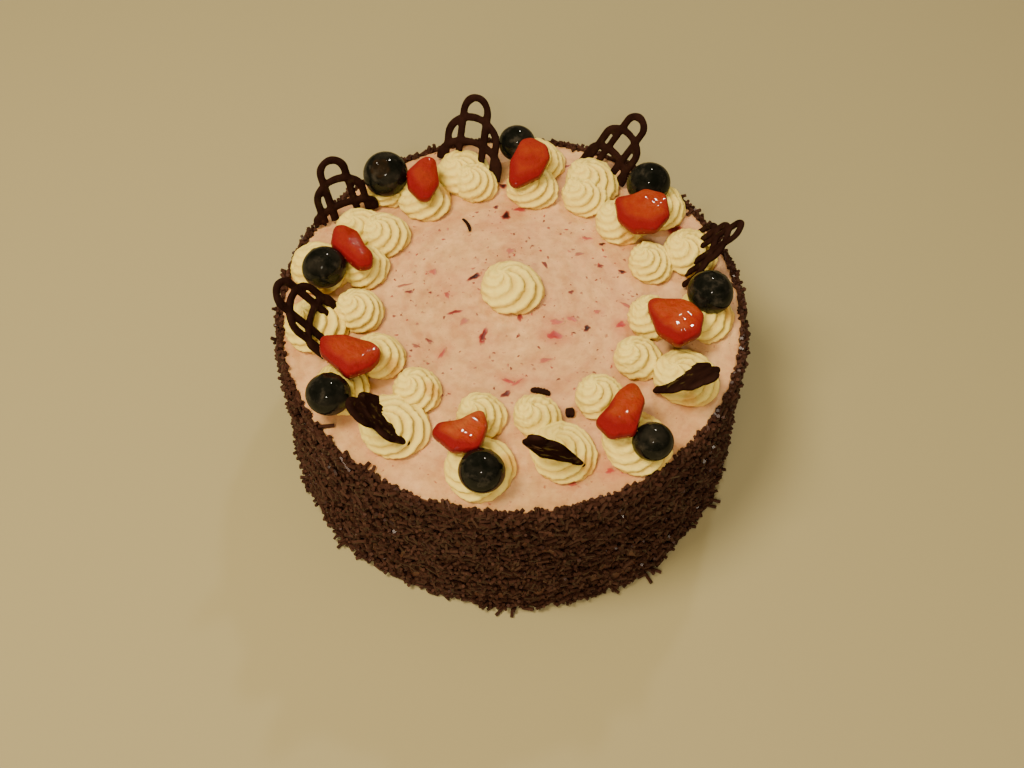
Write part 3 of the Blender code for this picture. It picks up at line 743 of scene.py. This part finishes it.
def make_flecks(surface):
    """Bits of fruit that lie flush in the cream, as flat lenses with an uneven edge."""
    draw = random.Random(17)
    points, faces, tone, redness = [], [], [], []
    for x, y, length, width, heading, dark, red in fleck_rows(draw):
        spin = [draw.uniform(0, TAU) for _ in range(3)]
        level = TOP_HEIGHT + float(body_relief(np.array([x / 1000]), np.array([y / 1000]))[0])
        rings = []
        for share, lift in FLECK_SECTION:
            ring = []
            for turn, over, up in steps_round(FLECK_SIDES):
                wobble = 1 + 0.20 * sin(2 * turn + spin[0]) + 0.20 * sin(3 * turn + spin[1])
                wobble += 0.14 * sin(5 * turn + spin[2])
                along, across = length * share * wobble * over, width * share * wobble * up
                ring.append((*placed(x, y, along, across, heading), level + lift))
            rings.append(ring)
        low, high = [(x / 1000, y / 1000, level + lift) for lift in (-0.0003, 0.0003)]
        more, more_faces = loft(rings, low, high)
        join(points, faces, more, more_faces)
        for share, rings_of_it in ((0.15, 2), (0.85, 1), (1.1, 1)):
            tone += [dark * share] * (rings_of_it * FLECK_SIDES)
        tone += [dark, dark * 1.1]
        redness += [red] * len(more)
    obj = add_mesh("fruit_flecks", points, faces, [surface])
    set_value(obj, "tone", tone)
    set_value(obj, "red", redness)
    return obj


def squared(value):
    """Pushes a sine or cosine outward, which makes a round section boxy."""
    return copysign(abs(value) ** 0.6, value)


def make_top_bits(surface):
    """Pieces of chocolate that fell on the top, with broken edges."""
    draw = random.Random(29)
    points, faces = [], []
    for x, y, length, width, thickness, heading, bend in TOP_BITS:
        rings = []
        for n in range(BIT_STEPS + 1):
            share = 2 * n / BIT_STEPS - 1
            full = max(0.0, 1 - abs(share) ** 5) ** 0.5 * 0.9 + 0.1
            ragged = 1 + 0.14 * sin(2.3 * n) + draw.uniform(-0.14, 0.14)
            ring = []
            for _, over, up in steps_round(BIT_SIDES):
                across = squared(over) * width / 2 * full * ragged + bend * (1 - share ** 2)
                level = TOP_HEIGHT + (thickness * 0.42 + squared(up) * thickness / 2 * full) / 1000
                ring.append((*placed(x, y, share * length / 2, across, heading), level))
            rings.append(ring)
        join(points, faces, *loft(rings, tuple(np.mean(rings[0], 0)), tuple(np.mean(rings[-1], 0))))
    return add_mesh("top_bits", points, faces, [surface])


# Sprinkles


def scatter_rods(name, rods, surface, box):
    """One mesh of many rods. A rod is its middle, its direction, length and radius. None leaves the box."""
    middles, along = (np.array([rod[n] for rod in rods]) for n in (0, 1))
    lengths, radii = (np.array([[rod[n]] for rod in rods]) for n in (2, 3))
    along /= np.linalg.norm(along, axis=1)[:, None]
    helper = np.where(np.abs(along[:, 2:]) < 0.9, [[0.0, 0.0, 1.0]], [[1.0, 0.0, 0.0]])
    side = np.cross(along, helper)
    side /= np.linalg.norm(side, axis=1)[:, None]
    other = np.cross(along, side)
    reach = np.abs(along) * lengths / 2 + np.sqrt(1 - along ** 2) * radii + ROD_MARGIN
    middles = np.clip(middles, np.array(box[0]) + reach, np.array(box[1]) - reach)
    points = []
    for end in (-0.5, 0.5):
        for _, over, up in steps_round(ROD_SIDES):
            points.append(middles + along * lengths * end + (side * over + other * up) * radii)
    count = len(points)
    faces = [tuple(reversed(range(ROD_SIDES))), tuple(range(ROD_SIDES, count))]
    for n in range(ROD_SIDES):
        after = (n + 1) % ROD_SIDES
        faces.append((n, after, ROD_SIDES + after, ROD_SIDES + n))
    every = [tuple(index + count * rod for index in face) for rod in range(len(rods)) for face in faces]
    obj = add_mesh(name, np.stack(points, 1).reshape(-1, 3), every, [surface], sharp=55)
    draw = np.random.default_rng(5)
    set_value(obj, "tone", np.repeat(np.clip(draw.normal(0.5, 0.24, len(rods)), 0, 1), count))
    return obj


def rod_size(draw):
    return ROD_LENGTH * draw.uniform(0.62, 1.25), ROD_RADIUS * draw.uniform(0.85, 1.18)


def slanted(draw, across):
    """A direction in the side's surface, more often steep than flat."""
    slope = pi / 2 + draw.choice((-1, 1)) * pi / 2 * draw.random() ** 1.35
    return across * cos(slope) + Vector((0, 0, 1)) * sin(slope)


def ways_at(turn):
    """The outward and the sideways direction at an angle round the axis."""
    out = polar(turn, 1)
    return out, Vector((-out.y, out.x, 0))


def side_rods(draw):
    """Rods that lie on the side at all angles, some of them standing off."""
    for _ in range(SIDE_RODS):
        turn = draw.uniform(0, 360)
        height = TOP_HEIGHT * draw.uniform(0.012, 1.0)
        out, across = ways_at(turn)
        lying = slanted(draw, across)
        off = draw.choice((-0.15, 0.0, 0.15, 0.4, 0.9)) + draw.uniform(-0.1, 0.1)
        size = rod_size(draw)
        ring = side_radius(turn, height) + draw.uniform(-0.0012, 0.0007)
        yield polar(turn, ring, height), lying + out * off, *size


def rim_rods(draw):
    """Rods that stand up past the rim or lie across it, few of them reaching far in."""
    for _ in range(RIM_RODS):
        turn = draw.uniform(0, 360)
        out, across = ways_at(turn)
        lying = slanted(draw, across)
        inward = draw.uniform(-0.15, 0.30) if draw.random() < 0.88 else draw.uniform(0.4, 1.0)
        length, radius = rod_size(draw)
        height = TOP_HEIGHT + draw.uniform(-0.0022, 0.0003)
        ring = TOP_RADIUS + draw.uniform(-0.0012, 0.0009)
        yield polar(turn, ring, height), lying - out * inward, length * 0.8, radius


def foot_rods(draw):
    """Rods heaped at the foot."""
    for _ in range(FOOT_RODS):
        turn = draw.uniform(0, 360)
        out, across = ways_at(turn)
        slope = draw.uniform(0, pi)
        rise = Vector((0, 0, draw.uniform(-0.1, 0.5)))
        size = rod_size(draw)
        ring = side_radius(turn, 0) + draw.uniform(-0.0022, 0.0012)
        middle = polar(turn, ring, draw.uniform(0.0007, 0.0035))
        yield middle, across * cos(slope) + out * sin(slope) * 0.8 + rise, *size


def top_rods(draw):
    """Rods that fell on the top near the rim."""
    for _ in range(TOP_RODS):
        turn = draw.uniform(0, 360)
        length, radius = rod_size(draw)
        along = Vector((draw.uniform(-1, 1), draw.uniform(-1, 1), 0.06))
        ring = TOP_RADIUS - draw.uniform(0.001, 0.0035)
        yield polar(turn, ring, TOP_HEIGHT + radius), along, length, radius


def stray_rods():
    """The loose rods at the foot."""
    for ring, angle, heading in STRAY_SPRINKLES:
        yield polar(angle, ring / 1000, STRAY_HEIGHT), polar(heading, 1), ROD_LENGTH * 1.2, ROD_RADIUS


def make_sprinkles(surface, box):
    draw = random.Random(21)
    rods = [*side_rods(draw), *rim_rods(draw), *foot_rods(draw), *top_rods(draw), *stray_rods()]
    return scatter_rods("sprinkles", rods, surface, box)


# Piped cream


def rosette_places():
    """Every rosette as name, place on the top, radius and height."""
    places = [("rosette_middle", Vector((*MIDDLE_PLACE, 0)), MIDDLE_RADIUS, MIDDLE_HEIGHT)]
    for letter, *row in CLUSTERS:
        for name, height, (angle, ring, radius) in zip(PAIR_NAMES, PAIR_HEIGHTS, (row[:3], row[3:])):
            places.append((name + letter, polar(angle, ring / 1000), radius / 1000, height))
    return places


def glaze_and_shade_values(points):
    """How much amber lies on each point of the cream: fruit glazing, and painted warm shade at a few
    rosette edges.
    """
    glaze_and_shade = np.zeros(len(points))
    for x, y, reach in GLAZE_AND_SHADE_SPOTS:
        away = np.hypot(points[:, 0] * 1000 - x, points[:, 1] * 1000 - y) / reach
        glaze_and_shade = np.maximum(glaze_and_shade, 0.65 * np.clip(1.3 - away ** 2, 0, 1))
    return glaze_and_shade


def make_rosette(name, middle, radius, height, surface, draw):
    """A swirl from a star nozzle: a low dome whose ridges overlap like shingles up to its peak."""
    spin = draw.uniform(0, TAU)
    second = draw.uniform(0, TAU)
    lean_x = PEAK_SHIFT[0] + draw.uniform(-0.07, 0.07)
    lean_y = PEAK_SHIFT[1] + draw.uniform(-0.08, 0.08)
    rise = height * draw.uniform(0.92, 1.03)
    size = radius * draw.uniform(0.98, 1.03)
    ridges = ROSETTE_RIDGES * draw.uniform(0.85, 1.12)
    climb = np.linspace(0, 1, ROSETTE_RINGS)[:, None]
    turn = np.linspace(0, TAU, ROSETTE_SIDES, endpoint=False)[None, :]
    arc = climb * pi / 2
    tuck = 0.92 + 0.08 * np.sin(np.minimum(climb / 0.14, 1) * pi / 2)
    width = np.cos(arc) ** 0.86 * tuck
    lift = np.sin(arc) ** 1.02
    wander = 0.5 * np.sin(turn + second) + 0.3 * np.sin(2 * turn + spin)
    share = ((spin + wander - ROSETTE_ARMS * turn) / TAU + ridges * climb ** 0.9) % 1
    ridge = np.sin(pi * share ** 0.82) ** 1.5
    open_side = np.cos(turn - atan2(-lean_y, -lean_x))
    depth = np.clip(0.62 + 0.55 * open_side, 0.10, 1.2) + 0.12 * np.sin(3 * turn + 5 * climb + spin)
    depth = depth * (0.45 + 0.55 * np.cos(arc))
    rope = np.abs(np.sin(turn / 2 - pi * ROPE_TURNS * climb + second)) ** 0.8
    fade = np.clip((1 - climb) / 0.12, 0, 1) ** 0.7
    push = (RIDGE_DEPTH * (ridge - 0.6) * depth + ROPE_DEPTH * (rope - 0.6) * depth) * fade * size / 0.012
    x, y = np.cos(turn) * width, np.sin(turn) * width
    rough = waves(x + 0 * climb, y + climb, 0.22, 9, draw) * 0.00014 + waves(x, y, 0.07, 9, draw) * 0.00009
    rough = rough + waves(x, y, 0.5, 7, draw) * 0.00022
    uneven = 1 + 0.022 * np.sin(2 * turn + spin) + 0.016 * np.sin(3 * turn + 2.1 * spin) * (1 - climb)
    frill = 0.012 * np.sin(11 * turn + second) + 0.011 * np.sin(23 * turn + 3 * spin)
    frill = frill + 0.010 * np.sin(37 * turn + second)
    uneven = uneven + frill * np.exp(-climb / 0.08)
    out = width * size * uneven + (push + rough) * np.cos(arc) ** 0.6
    up = lift * rise + (push + rough) * np.sin(arc)
    up = up + 0.0007 * np.exp(-(((1 - climb) / 0.06) ** 2))
    across = middle.x + out * np.cos(turn) + lean_x * size * climb
    along = middle.y + out * np.sin(turn) + lean_y * size * climb
    points = np.stack([across, along, np.broadcast_to(TOP_HEIGHT + 0.0003 + up, out.shape)], 2)
    points[-1] = points[-1].mean(0) + (points[-1] - points[-1].mean(0)) * 0.02
    foot = TOP_HEIGHT - 0.0004
    points[0, :, 2] = foot
    mesh_points, faces = loft(list(points), (middle.x, middle.y, foot), tuple(points[-1].mean(0)))
    obj = add_mesh(name + "_swirl", mesh_points, faces, [surface])
    # Painted shade in the grooves between the ridges, deeper on the side away from the key light
    groove_shade = np.clip((1 - ridge) * fade * (0.5 + 0.6 * depth), 0, 1)
    set_value(obj, "groove_shade", np.concatenate([groove_shade.ravel(), [0, 0]]))
    # Painted shadow at the foot of the swirl, strongest on the side facing away from the key light
    low = np.clip(1 - climb / 0.16, 0, 1) * np.clip(0.55 + 0.6 * open_side, 0, 1)
    set_value(obj, "low", np.concatenate([low.ravel(), [0, 0]]))
    # Glazing on the swirl, and painted warm shade at a few of its edges
    set_value(obj, "glaze_and_shade", glaze_and_shade_values(np.asarray(mesh_points)))
    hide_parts(name)
    return obj


# Lattices


def lattice_pose(ring, angle, foot, turn, lean, tip):
    """The pose of a lattice whose own X is its width, Y its thickness and Z its height."""
    facing = polar(angle + turn, 1)
    side = Vector((-facing.y, facing.x, 0))
    slope = radians(lean)
    up = Vector((0, 0, cos(slope))) + facing * sin(slope)
    tilt = radians(tip)
    width = side * cos(tilt) + up * sin(tilt)
    rise = up * cos(tilt) - side * sin(tilt)
    through = rise.cross(width)
    pose = Matrix((width, through, rise)).transposed().to_4x4()
    pose.translation = polar(angle, ring / 1000, TOP_HEIGHT + foot / 1000)
    return pose


def thread(points, draw):
    """Points and faces of a piped thread along a line in the lattice's own plane."""
    rings = []
    swell = [draw.uniform(0, TAU) for _ in range(3)]
    count = len(points)
    for n, point in enumerate(points):
        before, after = points[max(n - 1, 0)], points[min(n + 1, count - 1)]
        run = (after - before).normalized()
        out = Vector((run.z, 0, -run.x))
        share = n / (count - 1)
        thick = 1 + 0.05 * sin(9 * share + swell[0]) + 0.04 * sin(23 * share + swell[1])
        ring = []
        for _, over, up in steps_round(THREAD_SIDES):
            u, v = over * THREAD_WIDTH / 2 * thick, up * THREAD_THICKNESS / 2 * thick
            ring.append(point + out * u + Vector((0, v, 0)))
        rings.append(ring)
    return loft(rings, points[0], points[-1])


def web(line, thickness):
    """A thin plate that fills the arch."""
    deep = Vector((0, thickness / 2, 0))
    middle = sum(line, Vector()) / len(line)
    front, back = [point + deep for point in line], [point - deep for point in line]
    return loft([front, back], middle + deep, middle - deep)


def arch_line(half_width, height, roundness):
    """Points along the middle of an arch, in the lattice's own plane."""
    round_top = min(roundness * half_width, height)
    leg = height - round_top
    levels = [leg * n / LEG_STEPS for n in range(1, LEG_STEPS)] if leg > 0 else []
    line = [Vector((half_width, 0, level)) for level in [0.0, *levels]]
    for n in range(ARCH_STEPS + 1):
        turn = pi * n / ARCH_STEPS
        line.append(Vector((half_width * cos(turn), 0, leg + round_top * sin(turn))))
    line += [Vector((-half_width, 0, level)) for level in reversed([0.0, *levels])]
    return line


def make_lattice(row, surface, draw):
    letter = row[0]
    pose = lattice_pose(*row[1:7])
    points, faces = [], []
    for half_width, height, roundness in zip(row[7::2], row[8::2], ARCH_ROUNDNESS):
        line = arch_line(half_width / 1000, height / 1000, roundness)
        for end in (0, -1):
            drop = (LATTICE_FOOT - (pose @ line[end]).z) / pose.col[2].z
            line[end] = line[end] + Vector((0, 0, drop))
        shapes = [thread(line, draw)]
        if letter in WEBS:
            shapes.append(web(line, WEBS[letter] / 1000))
        for more, more_faces in shapes:
            join(points, faces, [pose @ Vector(point) for point in more], more_faces)
    obj = add_mesh("lattice_" + letter + "_thread", points, faces, [surface])
    melt(obj, LATTICE_VOXEL)
    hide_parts("lattice_" + letter)
    return obj


def melt(obj, voxel):
    """Joins what crosses in the mesh into one smooth skin."""
    remesh = obj.modifiers.new("Remesh", "REMESH")
    remesh.mode = "VOXEL"
    remesh.voxel_size = voxel
    soften = obj.modifiers.new("Smooth", "SMOOTH")
    soften.factor = 0.5
    soften.iterations = 3
    graph = bpy.context.evaluated_depsgraph_get()
    made = bpy.data.meshes.new_from_object(obj.evaluated_get(graph))
    obj.modifiers.clear()
    obj.data = made
    made.shade_smooth()


# Fruit


def berry_pose(row):
    _, ring, angle, lift, _, crown_angle, crown_height = row
    level = cos(radians(crown_height))
    axis = polar(crown_angle, level, sin(radians(crown_height)))
    pose = axis.to_track_quat("Z", "Y").to_matrix().to_4x4()
    pose.translation = polar(angle, ring / 1000, TOP_HEIGHT + lift / 1000)
    return pose


def make_blueberry(row, surface):
    """A berry whose crown is a five-pointed rim round a small hollow."""
    pose = berry_pose(row)
    radius = row[4] / 2000
    rings, crown = [], []
    for level in range(1, BERRY_RINGS):
        down = pi * (1 - level / BERRY_RINGS)
        ring = []
        for turn, x, y in steps_round(BERRY_SIDES):
            lobe = 0.5 + 0.5 * cos(5 * turn)
            away = degrees(down)
            rim = exp(-(((away - CROWN_RIM - 3 * lobe) / RIM_SOFTNESS) ** 2)) * (0.35 + 0.65 * lobe)
            hollow = 1 / (1 + exp((away - CROWN_HOLLOW) / HOLLOW_SOFTNESS))
            reach = radius * (1 + RIM_HEIGHT * rim - HOLLOW_DEPTH * hollow)
            flat, up = reach * sin(down), reach * cos(down) * BERRY_FLATNESS
            ring.append(pose @ Vector((flat * x, flat * y, up)))
            crown.append(min(1.0, 0.8 * rim + 0.5 * hollow))
        rings.append(ring)
    foot = pose @ Vector((0, 0, -radius * BERRY_FLATNESS))
    pit = pose @ Vector((0, 0, radius * BERRY_FLATNESS * 0.87))
    points, faces = loft(rings, foot, pit)
    obj = add_mesh("blueberry_" + row[0] + "_glazed", points, faces, [surface])
    set_value(obj, "crown", crown + [0.0, 0.5])
    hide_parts("blueberry_" + row[0])
    return obj


def strawberry_pose(row):
    _, ring, angle, lift, _, heading, tilt, _ = row
    inward = polar(angle + 180, 1)
    lean = Matrix.Rotation(radians(tilt), 4, Vector((0, 0, 1)).cross(inward))
    pose = Matrix.Translation(polar(angle, ring / 1000, TOP_HEIGHT + lift / 1000)) @ lean
    return pose @ Matrix.Rotation(radians(heading), 4, "Z")


def ray_length(corners, turn):
    """How far the outline through the corners lies from its middle at this angle."""
    x, y = cos(turn), sin(turn)
    farthest = 0.0
    for (ax, ay), (bx, by) in zip(corners, corners[1:] + corners[:1]):
        across = x * (by - ay) - y * (bx - ax)
        if abs(across) < 1e-6:
            continue
        share = (y * ax - x * ay) / across
        along = (ax * (by - ay) - ay * (bx - ax)) / across
        if -1e-6 <= share <= 1 + 1e-6 and along > 0:
            farthest = max(farthest, along)
    return farthest / 1000


def outline_reach(corners, turn):
    """The same with its corners rounded, as the mean over a few angles."""
    near = [ray_length(corners, turn + radians(CORNER_ROUNDING) * step / 3) for step in range(-3, 4)]
    return sum(near) / len(near)


def strawberry_profile(depth):
    """The fruit's section from its lowest point to its face.

    Each row is a share of the outline, a height, how near the edge it is, and how much is skin."""
    rows = []
    shoulder = -depth * ROUNDING_SHARE
    for n in range(1, SKIN_RINGS + 1):
        down = pi / 2 * (1 - n / SKIN_RINGS)
        rows.append((cos(down) ** 0.8, shoulder - (depth + shoulder) * sin(down), 1.0, 1.0))
    for n in range(1, ROUNDING_RINGS + 1):
        up = pi / 2 * n / ROUNDING_RINGS
        share = FACE_SHARE + (1 - FACE_SHARE) * cos(up)
        rows.append((share, shoulder * (1 - sin(up)), 1.0, max(0.0, 1 - 1.3 * n / ROUNDING_RINGS)))
    for n in range(1, FACE_RINGS):
        near = 1 - n / FACE_RINGS
        rows.append((FACE_SHARE * near, STRAWBERRY_DOME * (1 - near ** 2.4), near, 0.0))
    return rows


def deep_edge_start(pose, turn):
    """How near the edge the deep red begins: the juice ran to the low side of each face."""
    out = (pose.to_3x3() @ Vector((cos(turn), sin(turn), 0))).normalized()
    return 0.62 - 0.28 * out.dot(DEEP_SIDE)


def make_strawberry(row, flesh, seed):
    letter, depth = row[0], row[4] / 1000
    pose = strawberry_pose(row)
    corners = CORNERS[letter]
    draw = random.Random(ord(letter))
    turns = [TAU * n / STRAWBERRY_SIDES for n in range(STRAWBERRY_SIDES)]
    outline = [outline_reach(corners, turn) for turn in turns]
    spin = [draw.uniform(0, TAU) for _ in range(2)]
    rings, edge, skin = [], [], []
    dark_starts = [deep_edge_start(pose, turn) for turn in turns]
    for share, height, near, skin_value in strawberry_profile(depth):
        ring = []
        for turn, reach in zip(turns, outline):
            x, y = reach * share * cos(turn), reach * share * sin(turn)
            dent = DENT_DEPTH * sin(430 * x + spin[0]) * sin(370 * y + spin[1])
            fine = sin(1150 * x + 300 * y + spin[1]) * sin(1000 * y - 350 * x + spin[0])
            dent = (dent + FINE_DENT_DEPTH * fine) * (1 - skin_value)
            ring.append(pose @ Vector((x, y, height + dent)))
        rings.append(ring)
        edge += [min(1.0, max(0.0, (near - begins) / 0.40)) ** 1.2 for begins in dark_starts]
        skin += [skin_value] * STRAWBERRY_SIDES
    points, faces = loft(rings, pose @ Vector((0, 0, -depth)), pose @ Vector((0, 0, STRAWBERRY_DOME)))
    edge += [1.0, 0.0]
    skin += [1.0, 0.0]
    body_faces = len(faces)
    for place, out in seed_places(outline, depth, draw):
        more, more_faces = seed_mesh(pose @ place, pose.to_3x3() @ out, draw)
        join(points, faces, more, more_faces)
        edge += [1.0] * len(more)
        skin += [1.0] * len(more)
    obj = add_mesh("strawberry_" + letter + "_glazed", points, faces, [flesh, seed])
    obj.data.polygons.foreach_set("material_index", [0] * body_faces + [1] * (len(faces) - body_faces))
    set_value(obj, "edge", edge)
    set_value(obj, "skin", skin)
    set_value(obj, "ripe", [row[-1]] * len(edge))
    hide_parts("strawberry_" + letter)
    return obj


def seed_places(outline, depth, draw):
    """Places and directions of the seeds, in rows on the skin."""
    shoulder = -depth * ROUNDING_SHARE
    count = len(outline)
    for row in range(SEED_ROWS):
        down = radians(4 + 24 * row)
        share = cos(down) ** 0.8
        around = TAU * sum(outline) / count * share
        seeds = max(5, round(around / SEED_SPACING))
        height = shoulder - (depth + shoulder) * sin(down)
        level = cos(down)
        for n in range(seeds):
            turn = TAU * (n + 0.5 * (row % 2) + draw.uniform(-0.15, 0.15)) / seeds
            reach = outline[int(turn / TAU * count) % count] * share
            place = Vector((reach * cos(turn), reach * sin(turn), height))
            out = Vector((cos(turn) * level, sin(turn) * level, -sin(down)))
            yield place - out * SEED_SINK, out


def seed_mesh(place, out, draw):
    """A seed as a small flattened drop that lies in the skin."""
    turn_to = out.to_track_quat("Z", "Y").to_matrix().to_4x4()
    pose = Matrix.Translation(place) @ turn_to @ Matrix.Rotation(draw.uniform(0, TAU), 4, "Z")
    half_length, half_width, half_depth = SEED_SIZE
    rings = []
    for level, share in ((-0.7, 0.7), (0.0, 1.0), (0.7, 0.65)):
        long, wide, up = half_length * share, half_width * share, half_depth * level
        rings.append([pose @ Vector((long * x, wide * y, up)) for _, x, y in steps_round(SEED_SIDES)])
    return loft(rings, pose @ Vector((0, 0, -half_depth)), pose @ Vector((0, 0, half_depth)))


# The stage


def make_camera():
    camera = bpy.data.objects.new("camera", bpy.data.cameras.new("camera"))
    bpy.context.scene.collection.objects.link(camera)
    camera.data.lens = CAMERA_LENS
    camera.data.sensor_width = SENSOR_WIDTH
    camera.data.clip_start = 0.01
    turned = Matrix.Rotation(pi / 2 - CAMERA_PITCH, 4, "X") @ Matrix.Rotation(-CAMERA_ROLL, 4, "Z")
    camera.matrix_world = Matrix.Translation(CAMERA_PLACE) @ turned
    bpy.context.scene.camera = camera


def add_light(name, place, size, power, colour, shines):
    """A round lamp that faces the top. One that doesn't shine lights matt things alone."""
    data = bpy.data.lights.new(name, "AREA")
    data.shape = "DISK"
    data.size = size
    data.energy = power
    data.color = colour
    light = bpy.data.objects.new(name, data)
    bpy.context.scene.collection.objects.link(light)
    light.location = place
    light.rotation_mode = "QUATERNION"
    light.rotation_quaternion = (Vector(place) - Vector((0, 0, 0.05))).to_track_quat("Z", "Y")
    light.visible_glossy = shines


def make_stage():
    corners = [(x * FLOOR_HALF, y * FLOOR_HALF, 0) for x, y in ((-1, -1), (1, -1), (1, 1), (-1, 1))]
    floor = add_mesh("floor", corners, [(0, 1, 2, 3)], [plain_floor()], smooth=False)
    floor.location.z = -FLOOR_DROP
    for row in LIGHTS:
        add_light(*row)
    world = bpy.data.worlds.new("studio")
    world.use_nodes = True
    background = world.node_tree.nodes["Background"]
    background.inputs["Color"].default_value = (*FILL_COLOUR, 1)
    background.inputs["Strength"].default_value = WORLD_STRENGTH
    bpy.context.scene.world = world


def main():
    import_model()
    cad_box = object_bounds()
    make_camera()
    make_stage()
    body = make_body(pink_cream())
    dark = chocolate()
    coat = [body, make_sprinkles(sprinkle_chocolate(), cad_box)]
    flecks = make_flecks(fruit_fleck())
    bits = make_top_bits(dark)
    coat += [flecks, bits]
    for piece in coat:
        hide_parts("cake")
    cream = white_cream()
    draw = random.Random(3)
    swirls = [make_rosette(*place, cream, draw) for place in rosette_places()]
    lattices = [make_lattice(row, dark, draw) for row in LATTICES]
    blue = blueberry_skin()
    berries = [make_blueberry(row, blue) for row in BLUEBERRIES]
    red, seed = strawberry_flesh(), strawberry_seed()
    halves = [make_strawberry(row, red, seed) for row in STRAWBERRIES]
    for piece in [*coat, *swirls, *lattices, *berries, *halves]:
        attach(piece, "root")


main()
